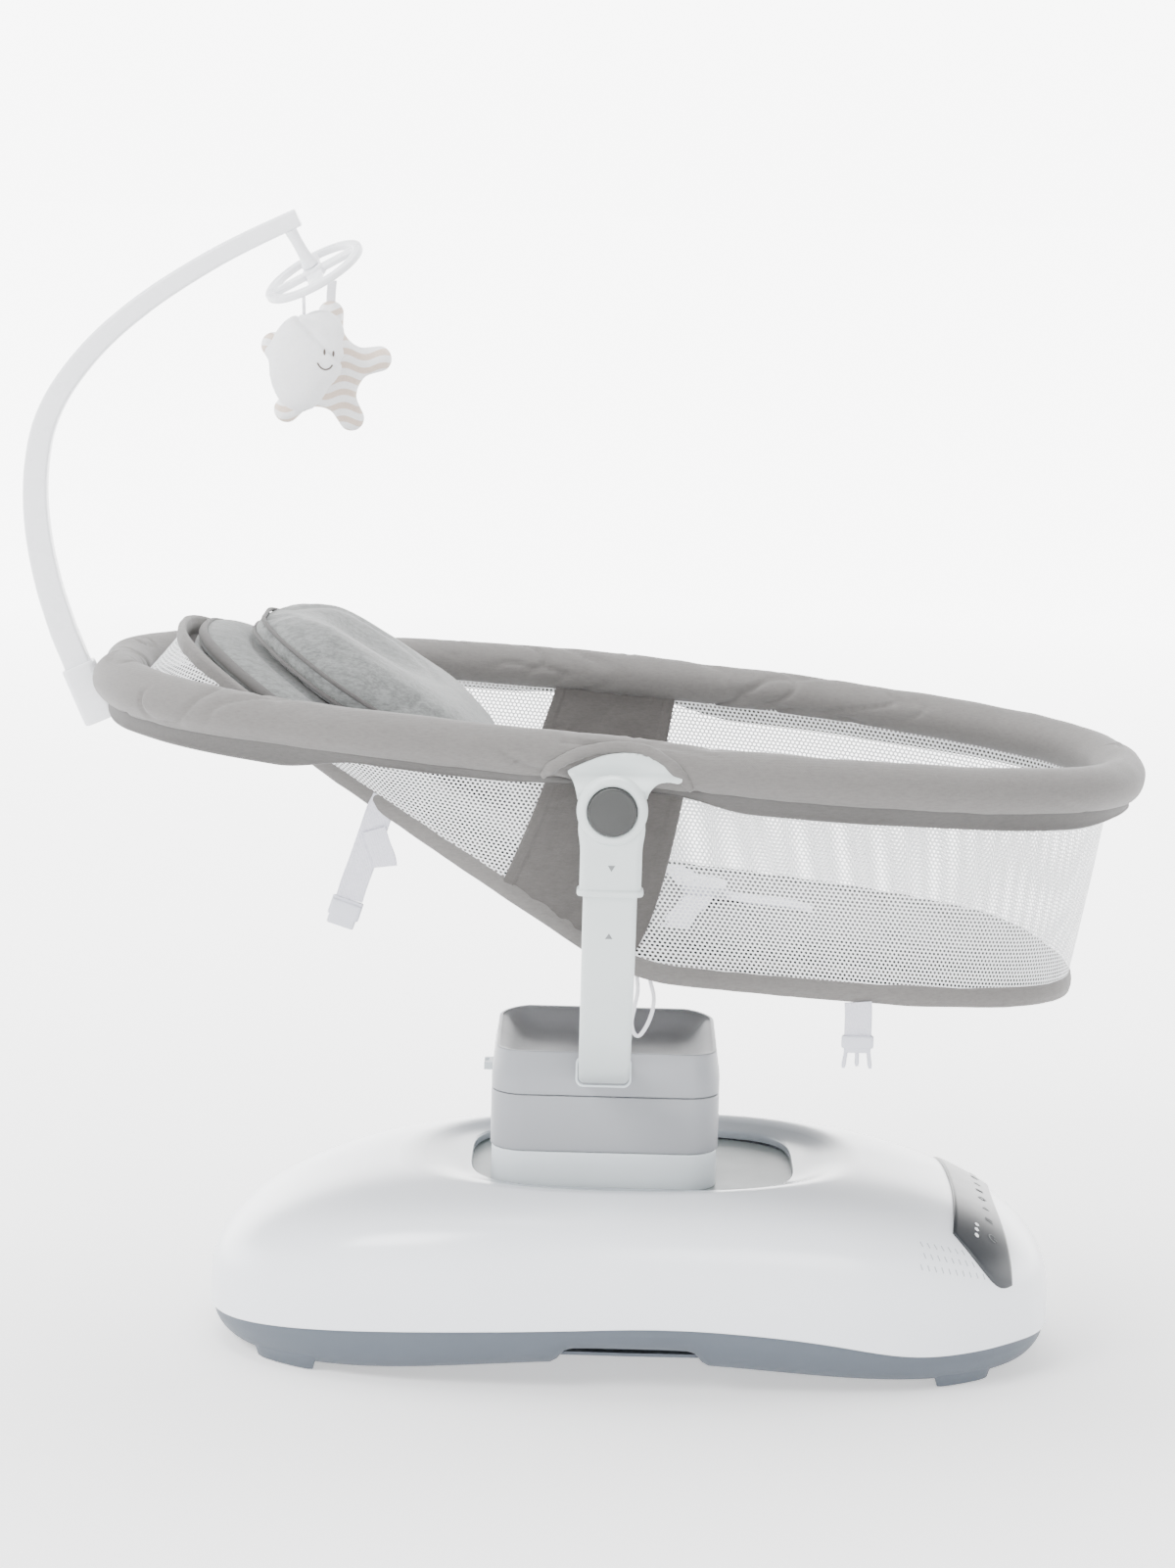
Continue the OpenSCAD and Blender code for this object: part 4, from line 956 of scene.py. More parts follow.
hem_n = 720
th = np.arange(hem_n) * 360 / hem_n
Ch = rim_c(th)
Th = unit(np.roll(Ch, -1, 0) - np.roll(Ch, 1, 0))
Uh = A(math.sin(TI), 0, math.cos(TI)) * np.ones_like(Ch)
Nh = unit(np.cross(Th, Uh))
hx, hy = Ch[:, 0], Ch[:, 1]
drop = 2.5 + 6.5 * xbump(hx, -365, -185) + 4.5 * xbump(hx, 95, 385)
drop *= 1 - 0.9 * np.exp(-((hx - 22) / 60) ** 4)
drop *= 1 - 0.6 * np.exp(-(hy / 40) ** 2) * (hx < -200)
wob = fbm(Ch / 30.0, 41, 2) * 1.0
sec = [(8.5, -12.5, 0), (8.6, -15.6, 0), (8.0, -17.2, 0.15), (7.7, -17.3, 0.5), (7.9, -17.2, 0.78), (8.3, -17.3, 0.9), (7.8, -17.4, 1.0), (6.0, -17.6, 1.03), (4.4, -17.4, 0.98), (4.2, -17.2, 0.85), (4.9, -17.0, 0.6), (5.2, -16.6, 0.2), (5.2, -13.0, 0)]
R = np.stack([Ch + Nh * (n0 + wob * dd + 1.2 * dd * np.sin(hx / 23))[:, None] + Uh * (u0_ - drop * dd * 1.4)[:, None] for n0, u0_, dd in sec], 1)
V, F = loft(R, cu=True)
make("rim_hem", V, F, m_bind, "bassinet", "rim_fabric", angle=None)


def rim_at(x):
    o0 = (np.asarray(x, float) - 29) / math.cos(TI)
    return 228 * (1 - np.minimum(np.abs(o0) / 382, 1) ** 2.3) ** (1 / 2.3), 485 - o0 * math.sin(TI) + 3 * (1 - (np.abs(o0) / 382) ** 2)


def rim_face(x, z, r=17.5):
    """how far out the rim's outer side reaches at height z"""
    yc, zc = rim_at(x)
    return yc + np.sqrt(np.maximum(r * r - (z - zc) ** 2, 0))


# ------------------------------------------------------------------ flat plates from an outline
from mathutils.geometry import delaunay_2d_cdt


def plate2d(outline, step):
    o = np.asarray(outline, float)
    n = len(o)
    lo, hi = o.min(0), o.max(0)
    gx, gy = np.meshgrid(np.arange(lo[0] + step * 0.37, hi[0], step), np.arange(lo[1] + step * 0.41, hi[1], step))
    g = np.column_stack([gx.ravel(), gy.ravel()])
    ins = np.zeros(len(g), bool)
    dist = np.full(len(g), 1e9)
    for i in range(n):
        a, b = o[i], o[(i + 1) % n]
        hit = (a[1] > g[:, 1]) != (b[1] > g[:, 1])
        with np.errstate(divide="ignore", invalid="ignore"):
            xx = (b[0] - a[0]) * (g[:, 1] - a[1]) / (b[1] - a[1]) + a[0]
        ins ^= hit & (g[:, 0] < xx)
        ab = b - a
        f = np.clip(((g - a) @ ab) / max(ab @ ab, 1e-9), 0, 1)
        dist = np.minimum(dist, np.linalg.norm(g - (a + f[:, None] * ab), axis=1))
    g = g[ins & (dist > step * 0.45)]
    pts = [Vector((float(p[0]), float(p[1]))) for p in np.vstack([o, g])]
    r = delaunay_2d_cdt(pts, [(i, (i + 1) % n) for i in range(n)], [], 1, 1e-5)
    v = np.array([[p.x, p.y] for p in r[0]])
    f = [list(q) for q in r[2]]
    return v, f


def slab(v, f, front, back):
    """front and back give 3-D points for 2-D points v; sides follow the boundary edges"""
    n = len(v)
    cnt = {}
    for q in f:
        for i in range(len(q)):
            e = (q[i], q[(i + 1) % len(q)])
            k = (min(e), max(e))
            cnt.setdefault(k, []).append(e)
    sides = [[e[0][0], e[0][1], e[0][1] + n, e[0][0] + n] for e in cnt.values() if len(e) == 1]
    return np.concatenate([front, back]), [list(q) for q in f] + [[i + n for i in q][::-1] for q in f] + sides


# white bracket that carries the rim on the hub, and the fabric welt over it
a = rad(np.linspace(168, 14, 30))
arc_in = np.column_stack([22.5 * np.cos(a), 22.5 * np.sin(a)])
out = catmull([(24.3, 8.0), (26.4, 13.2), (31.8, 17.4), (39, 18.6), (46.2, 18.0), (48.6, 20.5), (44.5, 26.5), (35, 32.5), (22, 36.4), (8.5, 37.6), (-6, 35.8), (-20, 30.5), (-30.5, 25.2), (-31.6, 22.6), (-28.5, 18.5), (-26.0, 13), (-24.6, 6.5)], 5)
outl = np.vstack([out, arc_in])
v2, f2 = plate2d(outl, 2.2)
for s, side in ((1, "left"), (-1, "right")):
    x, z = v2[:, 0] + HX, v2[:, 1] + HZ

    def yf(x, z, off):
        q = mix(260.9, rim_face(x, z) + 1.9, ease(z - HZ, 11, 25))
        ed = np.min(np.linalg.norm(np.stack([x - HX, z - HZ], -1)[:, None] - out[None, ::2], axis=-1), axis=1)
        return q - off - 1.3 * (1 - ease(ed, 0, 2.6))
    fr = np.column_stack([x, s * yf(x, z, 0), z])
    bk = np.column_stack([x, s * (np.minimum(yf(x, z, 3.2), 257.8)), z])
    V, F = slab(v2, f2, fr, bk)
    make(f"hub_bracket_{side}", V, F, m_saddle, "bassinet", "saddle_grey", (f"saddle_{side}",), angle=55)
    WP = catmull([(-28, 479.5), (-22, 486), (-9, 494.0), (8, 499.6), (29, 501.2), (46, 498.6), (60, 491.4), (70, 481.5), (77, 472.5)], 8)
    wy = rim_face(WP[:, 0], WP[:, 1], 17.5) + 0.9
    P = np.column_stack([WP[:, 0], s * wy, WP[:, 1]])
    g = np.linspace(0, 1, len(P))
    sc = np.clip(np.minimum(g, 1 - g) * 9, 0.35, 1) ** 0.5
    out_dir = np.column_stack([0 * g, s * 1.0 + 0 * g, 0 * g + 0.55])
    T_, _, _ = frames(P)
    out_dir = unit(out_dir - T_ * np.sum(out_dir * T_, 1, keepdims=True))
    sd = np.cross(T_, out_dir)
    cs = np.array([(4.3 * np.sign(math.cos(q)) * abs(math.cos(q)) ** 0.8, 2.6 * math.sin(q)) for q in np.arange(20) * 2 * math.pi / 20])
    wr = 1 + 0.10 * noise(np.column_stack([g * 40, g * 0, g * 0 + s]), 8)
    R = P[:, None] + (sc * wr)[:, None, None] * (cs[None, :, :1] * sd[:, None] + cs[None, :, 1:] * out_dir[:, None])
    V, F = loft(R)
    make(f"rim_welt_{side}", V, F, m_rim, "bassinet", "rim_fabric", angle=None)

# ------------------------------------------------------------------ open knit walls: real holes, 3.5 mm apart
tt = np.linspace(0, 360, 2881)
mid = wall0(tt, np.full_like(tt, 0.42))
sarc = np.concatenate([[0], np.cumsum(np.linalg.norm(np.diff(mid, axis=0), axis=1))])
L_of = lambda t: np.linalg.norm(wall0(t, np.ones_like(t)) - wall0(t, np.zeros_like(t)), axis=-1)
PT = sarc[-1]
nc = int(round(PT / 3.5))
pc = PT / nc
row = pc * math.sqrt(3) / 2
ci, cj = np.meshgrid(np.arange(nc), np.arange(80), indexing="ij")
cs_, cd = ((ci + 0.5 * (cj % 2)) * pc).ravel(), (cj * row - 1.0).ravel()
tc = np.interp(cs_ % PT, sarc, tt)
Lc = L_of(tc)
keep = cd < Lc + 1.0


def in_panel(t, v, m=0.22):
    q = np.where(t > 180, t, 360 - t)
    return (q > 264 - 3.6 * v + m) & (q < 275 - 5 * v - m)


keep &= ~in_panel(tc, np.clip(cd / Lc, 0, 1))
cs_, cd = cs_[keep], cd[keep]
ang = rad(30 + 60 * np.arange(6))
rc, rh = pc / math.sqrt(3), 1.22
cor = np.stack([cs_[:, None] + rc * np.cos(ang), cd[:, None] + rc * np.sin(ang)], -1)
hol = np.stack([cs_[:, None] + rh * np.cos(ang), cd[:, None] + rh * np.sin(ang)], -1)
key = np.round(np.stack([(cor[..., 0] % PT) / pc * 12, cor[..., 1] / row * 12], -1)).astype(np.int64)
key[..., 0] %= nc * 12
flat = key.reshape(-1, 2)
uq, first, inv = np.unique(flat[:, 0] * 100000 + flat[:, 1] + 5000, return_index=True, return_inverse=True)
inv = inv.reshape(-1, 6)
cpts = cor.reshape(-1, 2)[first]
pts = np.concatenate([cpts, hol.reshape(-1, 2)])
n0 = len(cpts)
hid = n0 + np.arange(len(cs_) * 6).reshape(-1, 6)
F = np.stack([inv, np.roll(inv, -1, 1), np.roll(hid, -1, 1), hid], -1).reshape(-1, 4)
tp = np.interp(pts[:, 0] % PT, sarc, tt)
vp = pts[:, 1] / L_of(tp)
V = wall(tp, np.clip(vp, -0.05, 1.06), 0.0)
mesh_o = make("mesh_walls", V, F.tolist(), m_mesh, "bassinet", "mesh_white", ("mesh_basket",), angle=None, fix=False)

# ------------------------------------------------------------------ fabric side panels with bound side edges
for s, side in ((-1, "right"), (1, "left")):
    ni, nj = 74, 60
    ii, vv_ = np.meshgrid(np.linspace(0, 1, ni), np.linspace(0.0, 0.985, nj), indexing="ij")
    tl, tr_ = 264 - 3.6 * vv_, 275 - 5 * vv_
    tq = mix(tl, tr_, ii)
    Lp = 11.6 * (tr_ - tl)
    de = np.minimum(ii, 1 - ii) * Lp
    raised = 0.9 * (1 - ease(de, 11.0, 12.6)) * ease(de, -0.6, 1.4)
    groove = -0.45 * np.exp(-((de - 9.0) / 0.55) ** 2)
    base = wall0(tq, vv_)
    fold = fbm(np.stack([ii * 5.2 + vv_ * 1.8, vv_ * 3.2 - ii, 0 * ii + s], -1), 17, 3) * 1.9 * np.sin(math.pi * ii) ** 0.5
    cr = -1.6 * np.clip(1 - np.abs(fbm(np.stack([ii * 3.1 + vv_ * 2.4, vv_ * 2.2, 0 * ii + 3 + s], -1), 29, 2)) * 7, 0, 1) * np.sin(math.pi * ii)
    o = wall(tq, vv_, 1.3 + raised + groove + fold + cr)
    i_ = wall(tq, vv_, -1.2 - raised + fold * 0.8 + cr * 0.7)
    if s > 0:
        o, i_ = o * [1, -1, 1], i_ * [1, -1, 1]
    ft = quads(ni, nj)
    fb = [[k + ni * nj for k in q][::-1] for q in ft]
    b = [k for k in range(nj)] + [k * nj + nj - 1 for k in range(1, ni)] + [(ni - 1) * nj + k for k in range(nj - 2, -1, -1)] + [k * nj for k in range(ni - 2, 0, -1)]
    sd = [[b[k], b[(k + 1) % len(b)], b[(k + 1) % len(b)] + ni * nj, b[k] + ni * nj] for k in range(len(b))]
    # the side panels wear the rim cloth's painted-shade copy
    po = make(f"side_panel_{side}", np.concatenate([o.reshape(-1, 3), i_.reshape(-1, 3)]), ft + fb + sd, m_rim_painted_shade, "bassinet", "rim_fabric", ("side_panels",), angle=70)

# ------------------------------------------------------------------ bottom binding round the seat
nb = 720
tb = np.arange(nb) * 360 / nb
Cb = band_c(tb)
Tb = unit(np.roll(Cb, -1, 0) - np.roll(Cb, 1, 0))
Nb = unit(np.cross(Tb, A(0, 0, 1) * np.ones_like(Tb)))
Ub = np.cross(Nb, Tb)
q = np.arange(28) * 2 * math.pi / 28
hs, ws = 7.6, 3.9
cs = np.stack([ws * np.sign(np.cos(q)) * np.abs(np.cos(q)) ** 0.8, hs * np.sign(np.sin(q)) * np.abs(np.sin(q)) ** 0.85], 1)
cs[:, 0] -= 0.55 * np.exp(-((cs[:, 1] - 3.2) / 0.8) ** 2) * np.sign(cs[:, 0]) + 0.45 * np.exp(-((cs[:, 1] + 4.4) / 0.8) ** 2) * np.sign(cs[:, 0])
wv = fbm(Cb / 22.0, 51, 3)
R = Cb[:, None] + Nb[:, None] * (cs[None, :, :1] * (1 + 0.12 * wv[:, None, None]) + 0.9 * wv[:, None, None]) + Ub[:, None] * (cs[None, :, 1:] * (1 + 0.05 * wv[:, None, None]) - 1.2)
V, F = loft(R, cu=True)
make("bottom_binding", V, F, m_rim, "bassinet", "rim_fabric", ("bottom_band",), angle=None)

# ------------------------------------------------------------------ cover under the seat
xs = 34 + 337 * np.sin(np.linspace(-math.pi / 2, math.pi / 2, 120))
ks = np.sin(np.linspace(-math.pi / 2, math.pi / 2, 64))
XX, KK = np.meshgrid(xs, ks, indexing="ij")
hw = 169 * (1 - np.minimum(np.abs(XX - 34) / 338, 1) ** 2.7) ** (1 / 2.7)
YY = KK * hw
sl = (floor_z(XX + 1) - floor_z(XX - 1)) / 2
nn = unit(np.stack([-sl, 0 * sl, np.ones_like(sl)], -1))
B0 = np.stack([XX, YY, floor_z(XX)], -1)
lo_h = -5.0 - 3.2 * (1 - KK ** 2) * ease(hw, 5, 90) + 0.7 * fbm(B0 / 40.0, 61, 2)
up_, dn = B0 + nn * (lo_h + 0.8)[..., None], B0 + nn * (lo_h - 0.8)[..., None]
ni, nj = XX.shape
ft = quads(ni, nj)
fb = [[k + ni * nj for k in f][::-1] for f in ft]
b = [k for k in range(nj)] + [k * nj + nj - 1 for k in range(1, ni)] + [(ni - 1) * nj + k for k in range(nj - 2, -1, -1)] + [k * nj for k in range(ni - 2, 0, -1)]
sd = [[b[k], b[(k + 1) % len(b)], b[(k + 1) % len(b)] + ni * nj, b[k] + ni * nj] for k in range(len(b))]
# the cloth under the seat wears the rim cloth's painted-shade copy
uc = make("seat_underside", np.concatenate([up_.reshape(-1, 3), dn.reshape(-1, 3)]), ft + fb + sd, m_rim_painted_shade, "bassinet", "rim_fabric", angle=None)


# ------------------------------------------------------------------ quilted seat and back pad
def on_seat(x, y, h):
    x, y, h = np.broadcast_arrays(np.asarray(x, float), np.asarray(y, float), np.asarray(h, float))
    sl = (floor_z(x + 1.5) - floor_z(x - 1.5)) / 3
    n = unit(np.stack([-sl, 0 * sl, np.ones_like(sl)], -1))
    return np.stack([x, y, floor_z(x)], -1) + n * h[..., None]


fr_ = np.concatenate([np.linspace(0.0, 0.70, 26), np.linspace(0.72, 0.86, 16), np.linspace(0.87, 1.0, 24)])
ta = np.arange(300) * 1.2
ox, oy = sell(33.5, 328.5, 160, 2.7, ta)
FR, OX = np.meshgrid(fr_, ox, indexing="ij")
_, OY = np.meshgrid(fr_, oy, indexing="ij")
PX, PY = 33.5 + (OX - 33.5) * FR, OY * FR
edge = np.where(FR > 0.9, np.sqrt(np.clip(1 - ((FR - 0.9) / 0.1) ** 2, 0, 1)), 1.0)
top_h = 3 + 20.5 * (0.28 + 0.72 * edge)
top_h += 2.2 * (1 - FR ** 2)
for g0, gw, gd in ((0.905, 0.010, 1.6), (0.78, 0.012, 2.6)):
    top_h -= gd * np.exp(-((FR - g0) / gw) ** 2)
top_h += 1.7 * np.exp(-((FR - 0.845) / 0.035) ** 2)
for gx in (-150.0, -60.0, 128.0, 232.0):
    top_h -= 2.0 * np.exp(-((PX - gx - 12 * (PY / 150) ** 2) / 2.2) ** 2) * (FR < 0.775)
top_h += 1.0 * fbm(np.stack([PX / 34, PY / 34, 0 * PX], -1), 71, 3) * np.clip((1 - FR) * 8, 0, 1)
TP = on_seat(PX, PY, top_h)
BT = on_seat(PX[::-3], PY[::-3], np.full_like(PX[::-3], 3.4))
V, F = loft(np.concatenate([TP[1:], BT[:-1]]))
pad_o = make("seat_cushion", V, F, m_seat, "bassinet", "pad_fabric", ("seat_pad",), angle=None)
BP = on_seat(ox, oy, np.full_like(ox, 9.5))
V, F = sweep(BP, np.array([(3.3 * math.cos(k), 4.2 * math.sin(k)) for k in np.arange(14) * 2 * math.pi / 14]), closed=True)
make("seat_cushion_binding", V, F, m_bind, "bassinet", "pad_fabric", angle=None)


# ------------------------------------------------------------------ cloth for the head pillow
def cloth_puff(o, voxel, pressure, frames_, cap):
    """inflate a closed piece a little with the cloth solver and keep the result as its mesh"""
    rm = o.modifiers.new("remesh", "REMESH")
    rm.mode = "VOXEL"
    rm.voxel_size = voxel
    dg = bpy.context.evaluated_depsgraph_get()
    me = bpy.data.meshes.new_from_object(o.evaluated_get(dg))
    o.modifiers.clear()
    o.data = me
    n = len(me.vertices)
    a = np.zeros(n * 3)
    me.vertices.foreach_get("co", a)
    cl = o.modifiers.new("cloth", "CLOTH")
    cl.settings.use_pressure = True
    cl.settings.uniform_pressure_force = pressure
    cl.settings.effector_weights.gravity = 0
    cl.settings.quality = 5
    cl.settings.tension_stiffness = 12
    cl.settings.compression_stiffness = 8
    cl.settings.bending_stiffness = 0.6
    cl.point_cache.frame_start = 1
    cl.point_cache.frame_end = frames_
    for f in range(1, frames_ + 1):
        scene.frame_set(f)
    dg = bpy.context.evaluated_depsgraph_get()
    me2 = bpy.data.meshes.new_from_object(o.evaluated_get(dg))
    o.modifiers.clear()
    b = np.zeros(n * 3)
    me2.vertices.foreach_get("co", b)
    d = (b - a).reshape(-1, 3)
    l = np.linalg.norm(d, axis=1, keepdims=True)
    b = a.reshape(-1, 3) + d * np.minimum(1, cap / np.maximum(l, 1e-9))
    me2.vertices.foreach_set("co", b.ravel())
    o.data = me2
    scene.frame_set(1)
    o.data.polygons.foreach_set("use_smooth", [True] * len(o.data.polygons))
    return o


def get_co(o):
    a = np.zeros(len(o.data.vertices) * 3)
    o.data.vertices.foreach_get("co", a)
    return a.reshape(-1, 3) * 1000 - [SX, 0, 0]


def set_co(o, v):
    o.data.vertices.foreach_set("co", ((v + [SX, 0, 0]) * 0.001).ravel())
    o.data.update()


SL = math.atan(0.635)
ex_, ez_ = A(math.cos(SL), 0, -math.sin(SL)), A(math.sin(SL), 0, math.cos(SL))  # down the back, and out of it
PO = A(-276, 0, float(floor_z(-276)))


def back_pt(a, y, h):
    """a along the slope from the head, y across, h off the back board"""
    a, y, h = np.broadcast_arrays(np.asarray(a, float), np.asarray(y, float), np.asarray(h, float))
    return PO + a[..., None] * ex_ + y[..., None] * A(0, 1, 0) + h[..., None] * ez_


def sup(a, b, n, k):
    t_ = np.arange(k) * 360 / k
    return np.column_stack(sell(0, a, b, n, t_))


def taper(q):
    q[:, 1] *= 1 - 0.16 * ease(-q[:, 0], 30, 113) - 0.10 * ease(q[:, 0], 60, 113)
    return q


o = taper(sup(113, 108, 3.0, 96))
rings = []
for g, h in ((5.5, 28.5), (2.2, 29.3), (0.4, 32.0), (0.0, 36.0), (0.0, 40.0), (0.4, 43.2), (2.4, 45.6), (6.0, 46.6)):
    rings.append(back_pt(119 + o[:, 0] * (1 - g / 113), o[:, 1] * (1 - g / 108), np.full(len(o), h)))
V, F = loft(np.array(rings))
pil = make("head_support", V, F, m_pad, "bassinet", "pad_fabric", ("head_pillow",), angle=None)
cloth_puff(pil, 0.0048, 3.2, 18, 0.0060)
P = get_co(pil)
rel = P - PO
aa, yy, hh = rel @ ex_, rel[:, 1], rel @ ez_
yn = yy / (1 - 0.16 * ease(119 - aa, 30, 113) - 0.10 * ease(aa - 119, 60, 113))
r_ = (np.abs((aa - 119) / 116) ** 3.0 + np.abs(yn / 110) ** 3.0) ** (1 / 3.0)
upf = ease(hh, 36, 44)
crown = 23.0 * (1 - np.clip(r_, 0, 1) ** 5.0) ** 0.8 * (1 - 0.45 * ease(aa, 150, 232)) * ease(aa, -2, 60)
dip = -15.0 * np.exp(-(((aa - 86) / 50) ** 2 + (yy / 42) ** 2) ** 1.3)
cre = -3.2 * np.exp(-((np.sqrt(((aa - 86) / 62) ** 2 + (yy / 60) ** 2) - 1) / 0.06) ** 2) * (0.3 + 0.7 * ease(fbm(np.column_stack([aa / 40, yy / 40, 0 * aa]), 81, 2), -0.3, 0.4))
sew = -1.4 * np.exp(-((r_ - 0.93) / 0.018) ** 2)
rip = 0.9 * fbm(np.column_stack([aa / 22, yy / 22, hh / 22]), 83, 3)
hh2 = np.clip(hh + (crown + dip + cre + sew) * upf + rip * (hh > 32), 27.0, 74)
P = P + (hh2 - hh)[:, None] * ez_
set_co(pil, P)
sub = pil.modifiers.new("smooth", "SUBSURF")
sub.levels = sub.render_levels = 1
dg = bpy.context.evaluated_depsgraph_get()
me = bpy.data.meshes.new_from_object(pil.evaluated_get(dg))
pil.modifiers.clear()
pil.data = me
me.polygons.foreach_set("use_smooth", [True] * len(me.polygons))
# piping sewn round the pillow's upper and lower edge, where its side really stands
P = get_co(pil)
rel = P - PO
aa, yy, hh = rel @ ex_, rel[:, 1], rel @ ez_
th_ = np.degrees(np.arctan2(yy, aa - 119)) % 360
for nm, h in (("top", 43.5), ("base", 31.5)):
    m_ = np.abs(hh - h) < 3.2
    rad_ = np.hypot(aa - 119, yy)
    tb = np.arange(120) * 3.0
    rb = np.array([rad_[m_][np.abs((th_[m_] - t + 180) % 360 - 180) < 3.0].max() for t in tb])
    rb = (np.roll(rb, 1) + 2 * rb + np.roll(rb, -1)) / 4
    q = np.column_stack([rb * np.cos(rad(tb)), rb * np.sin(rad(tb))])
    pp = back_pt(119 + q[:, 0], q[:, 1], np.full(len(q), h))
    V, F = sweep(pp, circle(1.7, 10), closed=True)
    make(f"head_support_piping_{nm}", V, F, m_bind, "bassinet", "pad_fabric", angle=None)


# ------------------------------------------------------------------ straps and buckles
def ribbon(P, width, across, thick=1.5):
    """flat webbing along P; across is the direction of its width"""
    P = np.asarray(P, float)
    T_ = unit(np.gradient(P, axis=0))
    a = unit(np.broadcast_to(A(*across), P.shape) if np.ndim(across) == 1 else across)
    a = unit(a - T_ * np.sum(a * T_, 1, keepdims=True))
    n = np.cross(T_, a)
    h, w2 = thick / 2, width / 2
    cs = [(w2 - 0.4, h), (w2 - 0.1, h * 0.6), (w2, 0), (w2 - 0.1, -h * 0.6), (w2 - 0.4, -h), (w2 - 2.0, -h * 0.86), (0, -h), (-w2 + 2.0, -h * 0.86), (-w2 + 0.4, -h), (-w2 + 0.1, -h * 0.6), (-w2, 0), (-w2 + 0.1, h * 0.6), (-w2 + 0.4, h), (-w2 + 2.0, h * 0.86), (0, h), (w2 - 2.0, h * 0.86)]
    cs = np.array(cs)
    R = P[:, None] + cs[None, :, :1] * a[:, None] + cs[None, :, 1:] * n[:, None]
    return loft(R)


def boxy(c, ax, ay, az, sx, sy, sz, r=1.2, rc=2.5):
    """rounded block about c with axes ax, ay, az"""
    c, ax, ay, az = A(*c), unit(A(*ax)), unit(A(*ay)), unit(A(*az))
    return prism(rrect(sx, sy, min(rc, sx / 2 - 0.1, sy / 2 - 0.1), 5), -sz / 2, sz / 2, r, to=lambda R: c + R[..., :1] * ax + R[..., 1:2] * ay + R[..., 2:] * az)


X_, Y_, Z_ = (1, 0, 0), (0, 1, 0), (0, 0, 1)
# rear strap hanging from the binding, with its folded tail and buckle half
P = catmull([(-142, -161.5, 447), (-146.5, -161.0, 437), (-152, -160.2, 420), (-158.5, -160.0, 400), (-164, -160.0, 384), (-167.5, -160, 372)], 6)
s1 = ribbon(P, 20, (1, 0, 0.32))
P2 = catmull([(-150, -162.6, 424), (-146.5, -163.4, 413), (-142.5, -163.2, 403), (-141.5, -162.6, 397)], 6)
s2 = ribbon(P2, 17, (1, 0, 0.30), 1.4)
V, F = join(s1, s2)
make("rear_webbing", V, F, m_web, "bassinet", "webbing", ("rear_strap",), angle=60)
d = unit(A(-0.32, 0, -1))
e = unit(A(1, 0, -0.32))
c0 = A(-170.5, -160, 364)
b1 = boxy(c0, e, Y_, -d, 23.5, 8.2, 12, 1.4, 3)
b2 = boxy(c0 + d * 8.5, e, Y_, -d, 20.5, 7.2, 8, 1.2, 2.6)
fr = boxy(c0 + d * -6.6, e, Y_, -d, 23.5, 4.2, 3.2, 1.0, 2)
V, F = join(b1, b2, fr)
make("rear_clip", V, F, m_buckle, "bassinet", "buckle_white", ("rear_buckle",), angle=45)
# front strap and its three-pronged half
P = catmull([(205.3, -165.2, 306), (205.8, -164.6, 299), (206, -164.1, 290), (206, -164, 278)], 6)
V, F = ribbon(P, 20, X_)
make("front_webbing", V, F, m_web, "bassinet", "webbing", ("front_strap",), angle=60)
parts = [boxy((206, -164, 276.2), X_, Y_, Z_, 23.5, 7.4, 9.5, 1.5, 3), boxy((206, -164, 270.2), X_, Y_, Z_, 19.5, 6.0, 4.0, 1.0, 2)]
for x in (-8.2, 0, 8.2):
    ln = 12.5 if x else 11.0
    Pq = np.array([(206 + x * (1 + 0.04 * k), -164, 269 - k * ln / 5) for k in range(6)])
    parts.append(sweep(Pq, rrect(3.0, 3.4, 1.1, 3), up=Y_, fixed=True, scale=[1, 1, 1, 1.08, 1.1, 0.7]))
V, F = join(*parts)
make("front_clip", V, F, m_buckle, "bassinet", "buckle_white", ("front_buckle",), angle=45)
# lap and crotch webbing with a buckle, lying on the cushion


def on_pad(x, y, h):
    return on_seat(x, y, 27.0 + np.asarray(h, float))


parts = []
for s in (-1, 1):
    k = np.linspace(0, 1, 26)
    x = mix(90, 66, k)
    y = s * mix(15, 133, k)
    h = mix(3.4, 0.8, ease(k, 0, 0.25)) - 3.0 * ease(k, 0.62, 0.84) + 1.0 * ease(k, 0.86, 0.93) - 7.5 * ease(k, 0.9, 1.0)
    parts.append(ribbon(on_pad(x, y, h), 22, (1, 0, 0)))
k = np.linspace(0, 1, 24)
h = mix(3.4, 0.9, ease(k, 0, 0.3)) - 3.6 * ease(k, 0.75, 1)
parts.append(ribbon(on_pad(mix(104, 182, k), 0 * k, h), 30, (0, 1, 0)))
V, F = join(*parts)
make("harness_webbing", V, F, m_web, "bassinet", "webbing", ("harness_straps",), angle=60)
c0 = on_pad(92, 0, 7.2)
nz = unit(A(0.085, 0, 1))
ex = unit(A(1, 0, -0.085))
b1 = boxy(c0, ex, Y_, nz, 35, 45, 8.6, 2.2, 10)
b2 = boxy(c0 + nz * 4.4, ex, Y_, nz, 17, 15, 1.6, 0.7, 6)
V, F = join(b1, b2)
make("harness_clip", V, F, m_buckle, "bassinet", "buckle_white", ("harness_buckle",), angle=45)

